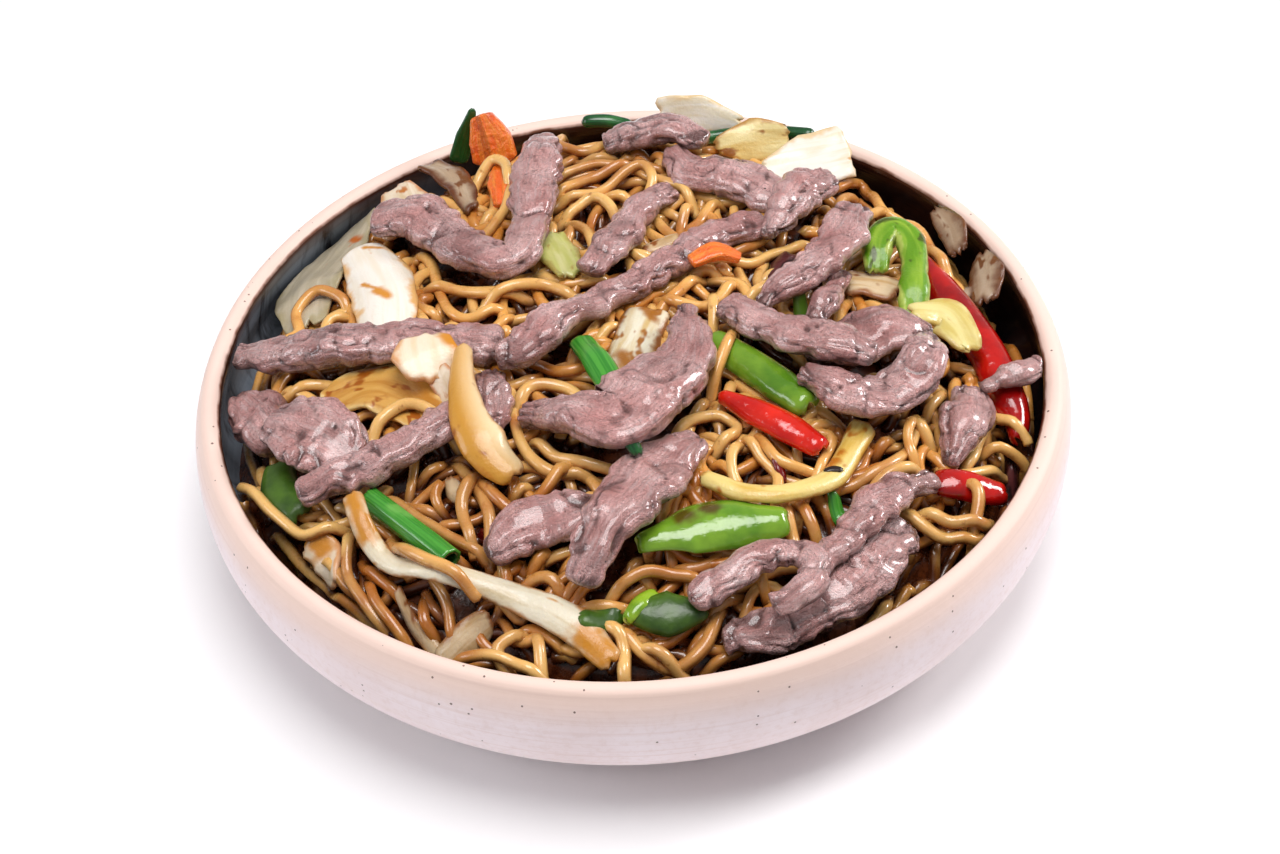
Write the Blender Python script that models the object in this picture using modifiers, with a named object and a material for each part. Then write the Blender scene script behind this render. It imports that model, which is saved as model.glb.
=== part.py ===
"""A wide shallow clay bowl, glazed black inside, heaped with noodles, beef strips and vegetables.

The frame is +Z up, the origin at the middle of the bowl's foot. Lengths below are in millimetres and
become metres when a mesh is made. Routes are points in plan, with +X to the right and +Y to the back.
"""

import collections
import math
import random

import bmesh
import bpy
import numpy as np
from mathutils import Vector
from mathutils.bvhtree import BVHTree

MILLIMETRE = 0.001
GAP = 0.45  # between a piece and what it rests on
HIGH_ABOVE = 300.0  # rays that look for a surface start here
SHARP_ANGLE = 50.0  # degrees
SCREW_MERGE = 0.00001  # metres

# Bowl
RIM_HEIGHT = 46.0
RIM_INNER_RADIUS = 112.0
LIP_WIDTH = 5.8
BELLY_RADIUS = 120.4
BELLY_HEIGHT = 30.9
FOOT_RADIUS = 79.5
INNER_BELLY_RADIUS = 114.4
FLOOR_RADIUS = 78.0
FLOOR_HEIGHT = 7.0
BOWL_SEGMENTS = 48
WALL_STEPS = 5
SHOULDER_ANGLE = 55  # degrees, where the lip's round leads into the belly
SHOULDER = 0.65  # how far up the straight of the inner wall, from belly to lip, its last point lies
LIP_STEPS = 4

# Heap of noodles
HEAP_EDGE_HEIGHT = 37.0
HEAP_RISE = 17.0
HEAP_RADIUS = 106.0
BACK_RISE = 6.0
BACK_START = 30.0
BACK_LENGTH = 70.0
EDGE_DROP = 9.0
EDGE_DROP_START = 97.0
EDGE_DROP_LENGTH = 15.0
CROSS_WAVE_HEIGHT, CROSS_WAVE_X, CROSS_WAVE_Y = 0.7, 8.0, 9.0
SLANT_WAVE_HEIGHT, SLANT_WAVE_LENGTH = 0.5, 13.0
HEAP_WALL_GAP = 0.7
HEAP_OUTLINE_HEIGHT = 23.0
HEAP_SIDE_TOP = 20.0
HEAP_SEGMENTS = 44
HEAP_RINGS = 10
NOODLE_DIAMETER = 3.3
NOODLE_SIDES = 6
NOODLE_STEP = 5.5
NOODLE_PROUD = 1.0  # the axis of a fused noodle over the core
NOODLE_END_DIP = 2.6
NOODLE_SAMPLES = 60
SHORTEST_NOODLE = 16.0
NOODLE_REACH = 109.0  # no axis of a fused noodle lies further from the middle
MOST_NOODLES = 39
LOOSE_TRIES = 400  # draws for places of the noodles that no route below gives
LOOSE_STEP = 9.0
LOOSE_BENDS = 4
MOST_BEND = 0.55  # radians a step
LOOSE_SPACING = 7.5  # from a loose noodle's axis to that of another noodle

# Laying the toppings on the heap
STATION_STEP = 1.5
ACROSS_SAMPLES = 7
ACROSS_REACH = 0.55  # of the width to each side of the middle
SLOPE_AVERAGE = 4  # stations to each side
STEEPEST_ROLL = 0.45
STIFFNESS_PASSES = 4
WALL_CLEARANCE = 0.8
THICKEST_SHEET = 4.0

# Sections of the toppings
STRIP_STEP = 8.0
STRIP_SIDES = 8
STRIP_SQUARENESS = 0.8
STRIP_TIP = 0.12  # of the width, past the last ring
STRIP_END_SHARE = 0.62  # of the full section, at an end
STRIP_TAPER_RATE = 4.0
THICK_UNEVEN, THICK_WAVES = 0.12, 9.0
WIDTH_UNEVEN, WIDTH_WAVES = 0.07, 14.0
TOP_UNEVEN = 0.1
SHEET_STEP = 6.5
WIDE_SHEET = 9.0  # a wider sheet gets one more column of points
RIPPLE_ALONG, RIPPLE_ACROSS = 1.9, 5.0
STALK_STEP = 8.0
STALK_SIDES = 8
STALK_TIP = 0.2  # of the width
NOODLE_TIP = 0.5  # of the radius

# Toppings, from the lowest to the topmost. A route with two numbers a point is laid on what is below it.
# A route with three is placed as it is, with its width along side, for pieces that lean on the wall.
Topping = collections.namedtuple(
    "Topping", "kind route widths thick arch wave side hollow round_stalk",
    defaults=(0.0, 0.0, 0.0, None, 0.0, False))
TOPPINGS = [
    Topping("cabbage", [(-76, 80), (-84, 62), (-91, 44), (-90, 26)], (12, 24, 24, 12), thick=1.5, wave=1.5),
    Topping("green_pepper", [(-95, -27), (-94, -38), (-88, -47)], (8, 12, 9), thick=3.0, arch=1.5),
    Topping("green_pepper", [(-4, -90), (5, -92), (15, -91)], (6, 12, 5), thick=3.0, arch=1.5),
    Topping("onion", [(61, 20), (68, 19), (75, 16)], (9, 11, 9), thick=2.0, wave=2.0),
    Topping("red_pepper", [(77, -52), (86, -53), (95, -53)], (8, 9, 6), thick=3.0, arch=1.5),
    Topping("cabbage", [(-21, 45), (-18, 36), (-15, 26)], (8, 11, 7), thick=2.0, wave=2.0),
    Topping("cabbage", [(-66, 82), (-63, 71), (-60, 58)], (9, 17, 17), thick=2.0, wave=1.5),
    Topping("onion", [(-57, 90), (-51, 84), (-46, 74), (-43, 62)], (8, 9, 8, 4), thick=2.0, wave=2.0),
    Topping("cabbage", [(-75, 52), (-70, 38), (-67, 24), (-66, 9)], (8, 18, 18, 14), thick=2.6, arch=2.0),
    Topping("cabbage", [(-83, -14), (-71, -10), (-61, -15), (-52, -27)],
            (6, 11, 14, 8), thick=1.8, wave=1.5),
    Topping("cabbage", [(6, 9), (2, -3), (-3, -18)], (10, 9, 6), thick=2.4, arch=1.5),
    Topping("green_pepper", [(0, -74), (12, -71), (24, -69), (36, -69)],
            (3, 14, 15, 8), thick=3.0, arch=4.0),
    Topping("green_pepper", [(22, -5), (30, -13), (38, -22), (46, -33)],
            (8, 10, 11, 8), thick=3.0, arch=3.0),
    Topping("carrot", [(-34, 82), (-34, 73), (-34, 64)], (6, 9, 5), thick=4.0),
    Topping("red_pepper", [(82, 35), (87, 24), (92, 12), (97, 0), (100, -12), (102, -24), (101, -33)],
            (7, 11, 12, 12, 11, 9, 4), thick=3.0, arch=3.0),
    Topping("spring_onion", [(-13, -2), (-8, -16), (-3, -31)], (6, 7, 7), thick=3.0, arch=1.0),
    Topping("spring_onion", [(-69, -49), (-59, -60), (-48, -73)],
            (6.4, 6.4, 7), hollow=4.6, round_stalk=True),
    Topping("cabbage", [(-73, -51), (-70, -61), (-63, -71), (-52, -78), (-37, -82), (-25, -88),
            (-16, -95), (-9, -104)],
            (5, 5, 5, 5, 6, 8, 9, 6), thick=2.2, arch=1.0),
    Topping("cabbage", [(60, -36), (55, -46), (50, -55), (42, -61), (34, -63), (25, -61), (17, -55)],
            (7, 6, 6, 5, 5, 5, 4), thick=2.6, arch=1.0),
    Topping("red_pepper", [(23, -27), (32, -33), (41, -40), (48, -47)], (2, 8, 9, 6), thick=3.0, arch=2.0),
    Topping("green_pepper", [(70, 23), (72, 34), (76.5, 39.5), (81, 33), (80, 18), (78, 4)],
            (6, 7, 7, 7, 7, 6), thick=4.5),
    Topping("cabbage", [(77, 0), (86, 1), (91, -10)], (7, 12, 7), thick=1.8, wave=2.5),
    Topping("beef", [(-107, -1), (-102, -8), (-96, -20)], (11, 16, 11), thick=8.0),
    Topping("beef", [(-95, -21), (-84, -28), (-74, -35)], (15, 24, 17), thick=5.5),
    Topping("beef", [(-45, -27), (-54, -35), (-65, -41), (-76, -44), (-86, -48)],
            (8, 10, 11, 10, 7), thick=7.0),
    Topping("beef", [(-107, 14), (-97, 9), (-82, 3), (-67, 1), (-52, 1), (-41, -1), (-31, -3)],
            (6, 10, 12, 13, 13, 13, 16), thick=8.0),
    Topping("cabbage", [(-54, -3), (-54, -9), (-53, -16)], (12, 18, 14), thick=2.4, wave=1.0),
    Topping("beef", [(-37, -13), (-36, -22), (-36, -33)], (8, 10, 6), thick=6.0),
    Topping("cabbage", [(-44, -10), (-44, -23), (-42, -35), (-38, -44), (-31, -51)],
            (4, 6, 9, 12, 8), thick=2.2, arch=2.0),
    Topping("beef", [(-70, 58), (-58, 56), (-51, 48), (-43, 38), (-32, 30), (-26, 39), (-25, 52),
            (-24, 66), (-22, 78), (-21, 90)],
            (12, 15, 14, 13, 12, 12, 13, 14, 12, 7), thick=7.5),
    Topping("beef", [(-37, -73), (-28, -67), (-18, -65), (-8, -62)], (9, 15, 14, 9), thick=6.5),
    Topping("beef", [(15, -43), (9, -50), (3, -58), (-3, -67), (-9, -76), (-15, -87)],
            (12, 17, 17, 15, 12, 9), thick=6.5),
    Topping("beef", [(-27, -33), (-16, -38), (-5, -42), (6, -32), (14, -22), (16, -10), (16, 0)],
            (7, 14, 23, 20, 17, 12, 6), thick=8.0),
    Topping("beef", [(14, 62), (8, 56), (3, 46), (-3, 34), (-9, 24)], (8, 8, 10, 11, 8), thick=7.0),
    Topping("beef", [(40, 46), (28, 39), (15, 29), (5, 20), (-5, 13), (-14, 6), (-22, -2), (-28, -10),
            (-34, -11)],
            (9, 10, 10, 10, 9, 9, 9, 12, 8), thick=7.0),
    Topping("carrot", [(19, 24), (25, 27), (32, 26)], (4, 6, 3), thick=3.0),
    Topping("beef", [(49, -7), (60, -9), (70, -8), (79, -11)], (11, 18, 18, 9), thick=6.0),
    Topping("beef", [(46, -26), (56, -33), (67, -32), (76, -24), (79, -15)], (7, 13, 15, 13, 8), thick=6.5),
    Topping("beef", [(28, 5), (35, -4), (43, -12), (52, -19), (63, -23)], (10, 13, 13, 12, 8), thick=6.5),
    Topping("beef", [(91, -20), (89, -29), (85, -38), (82, -45)], (10, 13, 12, 5), thick=6.5),
    Topping("beef", [(94, -20), (100, -18), (105, -16), (110, -12)], (5, 7, 7, 5), thick=5.0),
    Topping("beef", [(66, -67), (59, -76), (52, -86), (42, -92), (31, -97), (20, -98)],
            (12, 15, 14, 13, 12, 8), thick=7.0),
    Topping("beef", [(75, -55), (66, -61), (58, -68), (50, -77), (43, -84)], (7, 9, 10, 9, 7), thick=6.5),
    Topping("beef", [(12, -92), (20, -88), (29, -83), (37, -82), (42, -87), (40, -94), (32, -98)],
            (7, 9, 8, 7, 7, 7, 5), thick=6.0),
    Topping("beef", [(59, 20), (56, 9), (51, -2)], (7, 8, 6), thick=5.5),
    Topping("beef", [(66, 43), (62, 32), (55, 21), (47, 13), (37, 7)], (10, 13, 12, 9, 5), thick=6.5),
    Topping("beef", [(17, 81), (22, 70), (31, 67), (40, 61), (50, 52)], (8, 14, 16, 16, 11), thick=7.0),
    Topping("beef", [(61, 60), (53, 55), (47, 46), (41, 37)], (9, 14, 10, 6), thick=6.5),
    Topping("beef", [(-2, 91), (8, 91), (17, 89), (25, 83)], (8, 15, 15, 9), thick=7.0),
    Topping("cabbage", [(30, 88, 51), (40, 88.5, 52), (51, 88, 52)],
            (5, 10, 9), thick=1.8, wave=1.0, side=(0, 0.7, 0.7)),
    Topping("cabbage", [(43, 76, 50), (56, 79, 50), (69, 83, 49.5)],
            (5, 18, 17), thick=2.0, wave=1.0, side=(-0.1, 0.92, 0.38)),
    Topping("cabbage", [(14, 107, 49), (26, 105, 50.5), (38, 102, 49)],
            (6, 13, 6), thick=1.8, wave=0.8, side=(0, 0.25, 0.97)),
    Topping("spring_onion", [(23, 93.5, 48), (36, 95.5, 47.5), (48, 95, 47.5), (60, 91, 49)],
            (4, 4.4, 4.4, 4), round_stalk=True),
    Topping("spring_onion", [(-10, 106, 48), (-3, 105.5, 48), (5, 105, 46)],
            (4, 4.6, 4.2), round_stalk=True),
    Topping("spring_onion", [(-48, 96, 45), (-45, 99, 52), (-42, 102, 60)],
            (6, 6, 2), thick=1.2, side=(0.9, 0.3, 0.0)),
    Topping("carrot", [(-37, 91, 48), (-38, 94, 54), (-40, 98, 60)],
            (14, 13, 7), thick=4.5, side=(0.98, -0.15, 0.1)),
    Topping("onion", [(93, 62, 43), (96, 52, 43), (97, 42, 42)],
            (6, 9, 6), thick=1.8, wave=1.0, side=(0.75, 0.35, 0.55)),
    Topping("onion", [(104, 40, 42), (103, 30, 42), (101, 20, 41)],
            (8, 12, 8), thick=1.8, wave=1.0, side=(0.8, 0.2, 0.55)),
]

# Noodles that lie open on the heap
NOODLES = [
    [(-80, 32), (-87, 37), (-93, 31), (-92, 23), (-96, 20)],
    [(-54, 41), (-52, 29), (-48, 18), (-42, 15)],
    [(-31, 22), (-22, 24), (-16, 21)],
    [(-16, 76), (-8, 81), (2, 78), (10, 70), (17, 63)],
    [(-16, 97), (-8, 88), (-1, 80)],
    [(66, 73), (72, 77), (77, 68), (83, 57), (84, 51)],
    [(78, 50), (85, 47), (88, 39), (90, 31)],
    [(17, 19), (11, 13), (8, 7), (12, 0)],
    [(28, 18), (24, 12), (16, 10)],
    [(36, 22), (40, 18), (48, 17)],
    [(9, -40), (15, -33), (23, -31), (27, -36), (21, -42)],
    [(28, -37), (32, -46), (36, -52), (35, -60)],
    [(33, -39), (36, -48), (44, -51), (55, -51), (63, -51)],
    [(75, -32), (71, -40), (67, -48), (60, -53), (54, -56)],
    [(75, -36), (80, -43), (84, -51), (87, -58), (85, -65)],
    [(91, -36), (97, -35), (104, -37)],
    [(-5, -83), (4, -81), (12, -83)],
    [(-5, -96), (0, -102), (8, -104), (16, -102)],
    [(-70, -39), (-70, -33), (-67, -25), (-60, -22), (-53, -25), (-50, -31)],
    [(-105, -33), (-100, -38), (-95, -46), (-87, -54), (-79, -54)],
    [(-64, -50), (-57, -55), (-50, -62), (-41, -69)],
    [(-45, -42), (-41, -49), (-38, -59), (-38, -67)],
    [(-75, -59), (-75, -67), (-70, -77), (-64, -84), (-56, -90)],
    [(-32, -19), (-31, -29), (-29, -40), (-23, -48), (-15, -50)],
    [(-30, -23), (-27, -18), (-21, -17), (-16, -21), (-13, -27)],
    [(-31, -88), (-27, -94), (-26, -104)],
    [(-92, -3), (-86, -8), (-81, -14)],
    [(-48, 66), (-42, 58), (-39, 50)],
    [(-10, 66), (0, 62), (9, 62)],
    [(28, -5), (25, -14), (23, -21)],
    [(62, 4), (66, 10), (74, 12)],
    [(-60, -96), (-52, -99), (-43, -101)],
    [(20, 56), (23, 50), (27, 46)],
    [(40, -92), (30, -102), (18, -107)],
    [(84, 80), (92, 70), (99, 58)],
    [(-100, 50), (-93, 68), (-80, 86)],
    [(-40, 102), (-28, 106), (-16, 107)],
]

COLOURS = {
    "bowl": ((0.86, 0.72, 0.64), 0.55),
    "noodle_heap": ((0.62, 0.36, 0.13), 0.35),
    "beef": ((0.33, 0.18, 0.17), 0.4),
    "cabbage": ((0.80, 0.74, 0.55), 0.35),
    "onion": ((0.45, 0.26, 0.14), 0.3),
    "green_pepper": ((0.12, 0.33, 0.03), 0.25),
    "red_pepper": ((0.60, 0.02, 0.01), 0.22),
    "carrot": ((0.75, 0.16, 0.02), 0.4),
    "spring_onion": ((0.03, 0.22, 0.04), 0.3),
}


def smooth_step(t):
    t = min(max(t, 0.0), 1.0)
    return t * t * (3.0 - 2.0 * t)


def arc(start_angle, end_angle, centre, radii, steps):
    """Points of an elliptical arc, angles in degrees from +X."""
    angles = [math.radians(start_angle + (end_angle - start_angle) * k / steps) for k in range(steps + 1)]
    return [(centre[0] + radii[0] * math.cos(a), centre[1] + radii[1] * math.sin(a)) for a in angles]


def inner_wall():
    """The glazed inside, from the floor's edge up to the lip."""
    radii = (INNER_BELLY_RADIUS - FLOOR_RADIUS, BELLY_HEIGHT - FLOOR_HEIGHT)
    curve = arc(-90, 0, (FLOOR_RADIUS, BELLY_HEIGHT), radii, WALL_STEPS)
    lip_base = RIM_HEIGHT - LIP_WIDTH / 2
    shoulder_radius = INNER_BELLY_RADIUS + SHOULDER * (RIM_INNER_RADIUS - INNER_BELLY_RADIUS)
    return curve + [(shoulder_radius, BELLY_HEIGHT + SHOULDER * (lip_base - BELLY_HEIGHT))]


def bowl_profile():
    lip_centre = (RIM_INNER_RADIUS + LIP_WIDTH / 2, RIM_HEIGHT - LIP_WIDTH / 2)
    lip = arc(180, 0, lip_centre, (LIP_WIDTH / 2, LIP_WIDTH / 2), LIP_STEPS)
    rim_outer_radius = RIM_INNER_RADIUS + LIP_WIDTH
    shoulder = arc(SHOULDER_ANGLE, 0, (rim_outer_radius, BELLY_HEIGHT),
                   (BELLY_RADIUS - rim_outer_radius, lip_centre[1] - BELLY_HEIGHT), 2)
    belly_radii = (BELLY_RADIUS - FOOT_RADIUS, BELLY_HEIGHT)
    belly = arc(0, -90, (FOOT_RADIUS, BELLY_HEIGHT), belly_radii, WALL_STEPS + 1)
    return [(0.0, FLOOR_HEIGHT)] + inner_wall() + lip + shoulder + belly[1:] + [(0.0, 0.0)]


def heap_height(x, y):
    """The top of the noodles: a wavy dome that rises to the back and falls away near the wall."""
    r = math.hypot(x, y)
    dome = HEAP_EDGE_HEIGHT + HEAP_RISE * (1.0 - (r / HEAP_RADIUS) ** 3)
    back = BACK_RISE * smooth_step((y - BACK_START) / BACK_LENGTH)
    drop = EDGE_DROP * smooth_step((r - EDGE_DROP_START) / EDGE_DROP_LENGTH)
    cross = CROSS_WAVE_HEIGHT * math.sin(x / CROSS_WAVE_X + 1.0) * math.sin(y / CROSS_WAVE_Y + 2.0)
    slant = SLANT_WAVE_HEIGHT * math.sin((x + y) / SLANT_WAVE_LENGTH)
    return dome + back - drop + cross + slant


def curve_through(points, count, dense_steps=14):
    """Evenly spaced points on a smooth curve through the given ones."""
    points = np.array(points, float)
    guide = np.vstack([2 * points[0] - points[1], points, 2 * points[-1] - points[-2]])
    dense = []
    for a, b, c, d in zip(guide, guide[1:], guide[2:], guide[3:]):
        for t in np.arange(dense_steps) / dense_steps:
            square, cube = 2 * a - 5 * b + 4 * c - d, 3 * b - a - 3 * c + d
            dense.append(0.5 * (2 * b + (c - a) * t + square * t**2 + cube * t**3))
    dense.append(points[-1])
    dense = np.array(dense)
    along = np.concatenate([[0.0], np.cumsum(np.linalg.norm(np.diff(dense, axis=0), axis=1))])
    even = np.linspace(0.0, along[-1], count)
    return np.stack([np.interp(even, along, column) for column in dense.T], axis=1), along[-1]


def resampled(rows, count):
    """Rows read again at evenly spaced places."""
    old, new = np.linspace(0, 1, len(rows)), np.linspace(0, 1, count)
    return np.stack([np.interp(new, old, column) for column in np.asarray(rows).T], axis=1)


def table_at(values, count):
    """The named values of a piece, such as its widths, read at evenly spaced places along it."""
    return np.interp(np.linspace(0, 1, count), np.linspace(0, 1, len(values)), values)


def directions(path):
    along = np.gradient(path, axis=0)
    return along / np.linalg.norm(along, axis=1)[:, None]


def top_at(x, y, trees):
    """The highest surface straight below a point high above the bowl."""
    hits = [tree.ray_cast(Vector((x, y, HIGH_ABOVE)), Vector((0, 0, -1)))[0] for tree in trees]
    heights = [hit.z for hit in hits if hit is not None]
    return max(heights) if heights else 0.0


def laid_on(plan, widths, trees):
    """Heights and sideways slopes of a piece's underside, so that it drapes over what lies below."""
    count = len(plan)
    length = float(np.linalg.norm(np.diff(plan, axis=0), axis=1).sum())
    stations = max(count, int(length / STATION_STEP))
    fine = resampled(plan, stations)
    fine_widths = table_at(widths, stations)
    forward = directions(fine)
    left = np.stack([-forward[:, 1], forward[:, 0]], axis=1)
    across = np.linspace(-ACROSS_REACH, ACROSS_REACH, ACROSS_SAMPLES)
    offsets = fine_widths[:, None] * across[None, :]
    heights = np.array([[top_at(*(point + aside * v), trees) for v in row]
                        for point, aside, row in zip(fine, left, offsets)])
    centred = heights - heights.mean(axis=1, keepdims=True)
    slopes = (centred * offsets).sum(axis=1) / (offsets**2).sum(axis=1)
    slopes = np.clip(slopes, -STEEPEST_ROLL, STEEPEST_ROLL)
    window = 2 * SLOPE_AVERAGE + 1
    slopes = np.convolve(np.pad(slopes, SLOPE_AVERAGE, mode="edge"), np.ones(window) / window, mode="valid")
    needed = (heights - slopes[:, None] * offsets).max(axis=1) + GAP
    places = np.linspace(0, stations - 1, count)
    reach = (stations - 1) / (count - 1) + 1.0
    base = np.array([needed[np.abs(np.arange(stations) - p) <= reach].max() for p in places])
    for _ in range(STIFFNESS_PASSES):
        padded = np.pad(base, 1, mode="edge")
        base = np.maximum(base, (padded[:-2] + 2 * base + padded[2:]) / 4)
    return base, np.interp(places, np.arange(stations), slopes)


def frames(piece, count, trees):
    """The underside's middle, the sideways and the upward direction at each place along a piece."""
    plan, length = curve_through(piece.route, count)
    widths = table_at(piece.widths, count)
    if plan.shape[1] == 3:
        middle = plan
        forward = directions(middle)
        if piece.side:
            side = np.tile(np.array(piece.side, float), (count, 1))
        else:
            side = np.stack([-forward[:, 1], forward[:, 0], np.zeros(count)], axis=1)
        side -= forward * (side * forward).sum(axis=1)[:, None]
    else:
        base, slopes = laid_on(plan, widths, trees)
        middle = np.column_stack([plan, base])
        forward = directions(middle)
        flat = directions(plan)
        side = np.stack([-flat[:, 1], flat[:, 0], slopes], axis=1)
    side /= np.linalg.norm(side, axis=1)[:, None]
    up = np.cross(forward, side)
    up /= np.linalg.norm(up, axis=1)[:, None]
    return middle, side, up, widths, length


def closed_tube(rings, tips):
    """Vertices and triangles of a solid through rings of points, closed at each end by a point."""
    count, sides = len(rings), len(rings[0])
    points = [p for ring in rings for p in ring] + list(tips)
    faces = []
    for i in range(count - 1):
        for k in range(sides):
            a, b = i * sides + k, i * sides + (k + 1) % sides
            faces += [(a, b, b + sides), (a, b + sides, a + sides)]
    first, last = count * sides, count * sides + 1
    for k in range(sides):
        faces.append((first, (k + 1) % sides, k))
        faces.append((last, (count - 1) * sides + k, (count - 1) * sides + (k + 1) % sides))
    return np.array(points), faces


def strip(piece, number, trees):
    """A thick strip with a rounded, slightly uneven section, such as a slice of beef."""
    length = curve_through(piece.route, 3)[1]
    count = max(5, round(length / STRIP_STEP) + 1)
    middle, side, up, widths, _ = frames(piece, count, trees)
    places = np.linspace(0, 1, count)
    from_end = np.clip(np.minimum(places, 1 - places) * STRIP_TAPER_RATE, 0, 0.5)
    taper = STRIP_END_SHARE + (1 - STRIP_END_SHARE) * np.sin(np.pi * from_end)
    thick = piece.thick * (1.0 + THICK_UNEVEN * np.sin(THICK_WAVES * places + number)) * taper
    half = widths / 2 * (1.0 + WIDTH_UNEVEN * np.sin(WIDTH_WAVES * places + 2.1 * number)) * taper**0.5
    angles = (np.arange(STRIP_SIDES) + 0.5) * (2 * math.pi / STRIP_SIDES)
    rings = []
    for i in range(count):
        bulge = 1.0 + TOP_UNEVEN * np.sin(3 * angles + 1.7 * number + 0.9 * i)
        lateral = half[i] * np.sign(np.cos(angles)) * np.abs(np.cos(angles)) ** STRIP_SQUARENESS
        height = thick[i] / 2 * (1.0 + np.sin(angles) * np.where(np.sin(angles) > 0, bulge, 1.0))
        rings.append(middle[i] + np.outer(lateral, side[i]) + np.outer(height, up[i]))
    forward = directions(middle)
    tips = [middle[0] + up[0] * thick[0] / 2 - forward[0] * widths[0] * STRIP_TIP,
            middle[-1] + up[-1] * thick[-1] / 2 + forward[-1] * widths[-1] * STRIP_TIP]
    return closed_tube(rings, tips)


def sheet(piece, number, trees):
    """A thin wavy solid, such as a leaf or a curved strip of pepper, with both faces split alike."""
    length = curve_through(piece.route, 3)[1]
    widest = max(piece.widths)
    count = max(5, round(length / SHEET_STEP) + 1)
    columns = 5 if widest > WIDE_SHEET else 4
    middle, side, up, widths, _ = frames(piece, count, trees)
    across = np.linspace(-0.5, 0.5, columns)
    under, over = [], []
    for i in range(count):
        for v in across:
            ripple = 0.5 + 0.5 * math.sin(RIPPLE_ALONG * i + RIPPLE_ACROSS * v + number)
            rise = piece.arch * (1.0 - 4.0 * v * v) + piece.wave * ripple
            point = middle[i] + side[i] * (v * widths[i]) + up[i] * rise
            under.append(point)
            over.append(point + up[i] * piece.thick)
    points = np.array(over + under)
    total = count * columns
    faces = []
    for i in range(count - 1):
        for k in range(columns - 1):
            a = i * columns + k
            b, c, d = a + 1, a + columns + 1, a + columns
            faces += [(a, c, b), (a, d, c)]
            faces += [(total + a, total + b, total + c), (total + a, total + c, total + d)]
    border = [k for k in range(columns)] + [i * columns + columns - 1 for i in range(1, count)]
    border += [(count - 1) * columns + k for k in range(columns - 2, -1, -1)]
    border += [i * columns for i in range(count - 2, 0, -1)]
    for a, b in zip(border, border[1:] + border[:1]):
        faces += [(a, b, total + b), (a, total + b, total + a)]
    return points, faces


def stalk(piece, number, trees):
    """A round stalk of spring onion. One that shows its cut end is hollow right through."""
    length = curve_through(piece.route, 3)[1]
    count = max(4, round(length / STALK_STEP) + 1)
    middle, side, up, widths, _ = frames(piece, count, trees)
    sides = STALK_SIDES
    angles = (np.arange(sides) + 0.5) * (2 * math.pi / sides)
    centre = middle + up * (widths / 2)[:, None]

    def ring(i, radius):
        return centre[i] + radius * (np.outer(np.cos(angles), side[i]) + np.outer(np.sin(angles), up[i]))

    outer = [ring(i, widths[i] / 2) for i in range(count)]
    forward = directions(middle)
    if not piece.hollow:
        tips = [centre[0] - forward[0] * widths[0] * STALK_TIP,
                centre[-1] + forward[-1] * widths[-1] * STALK_TIP]
        return closed_tube(outer, tips)
    loop = outer + [ring(i, piece.hollow / 2) for i in range(count - 1, -1, -1)]
    points = np.array([p for one in loop for p in one])
    faces = []
    for i in range(len(loop)):
        after = (i + 1) % len(loop)
        for k in range(sides):
            a, b = i * sides + k, i * sides + (k + 1) % sides
            c, d = after * sides + (k + 1) % sides, after * sides + k
            faces += [(a, b, c), (a, c, d)]
    return points, faces


def pressed_inside(points):
    """Points that would reach into the wall are pressed back from it."""
    reach = np.hypot(points[:, 0], points[:, 1])
    scale = np.minimum(1.0, (RIM_INNER_RADIUS - WALL_CLEARANCE) / np.maximum(reach, 1.0))
    return points * np.column_stack([scale, scale, np.ones(len(points))])


def topping_mesh(piece, number, trees):
    if piece.round_stalk:
        points, faces = stalk(piece, number, trees)
    elif piece.kind in ("beef", "carrot") or piece.thick > THICKEST_SHEET:
        points, faces = strip(piece, number, trees)
    else:
        points, faces = sheet(piece, number, trees)
    return pressed_inside(points), faces


def heap_core():
    """The noodles packed under those that show, from the bowl's floor up to the uneven top."""
    turns = [2 * math.pi * step / HEAP_SEGMENTS for step in range(HEAP_SEGMENTS)]
    around = [(math.cos(angle), math.sin(angle)) for angle in turns]
    outline = inner_radius_at(HEAP_OUTLINE_HEIGHT) - HEAP_WALL_GAP
    points = [(0.0, 0.0, heap_height(0.0, 0.0))]
    for ring in range(1, HEAP_RINGS + 1):
        radius = outline * ring / HEAP_RINGS
        points += [(radius * c, radius * s, heap_height(radius * c, radius * s)) for c, s in around]
    for radius, height in reversed(inner_wall()[:-1]):
        if height < HEAP_SIDE_TOP:
            reach = radius - HEAP_WALL_GAP
            points += [(reach * c, reach * s, height + HEAP_WALL_GAP) for c, s in around]
    points.append((0.0, 0.0, FLOOR_HEIGHT + HEAP_WALL_GAP))
    faces = [(0, 1 + s, 1 + (s + 1) % HEAP_SEGMENTS) for s in range(HEAP_SEGMENTS)]
    levels = (len(points) - 2) // HEAP_SEGMENTS
    for level in range(levels - 1):
        for s in range(HEAP_SEGMENTS):
            a = 1 + level * HEAP_SEGMENTS + s
            b = 1 + level * HEAP_SEGMENTS + (s + 1) % HEAP_SEGMENTS
            faces += [(a, a + HEAP_SEGMENTS, b + HEAP_SEGMENTS), (a, b + HEAP_SEGMENTS, b)]
    last = len(points) - 1
    base = 1 + (levels - 1) * HEAP_SEGMENTS
    faces += [(last, base + (s + 1) % HEAP_SEGMENTS, base + s) for s in range(HEAP_SEGMENTS)]
    return np.array(points), faces


def inner_radius_at(height):
    """Radius of the glazed inside at a height."""
    wall = sorted((z, r) for r, z in inner_wall())
    return float(np.interp(height, [z for z, _ in wall], [r for _, r in wall]))


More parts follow.
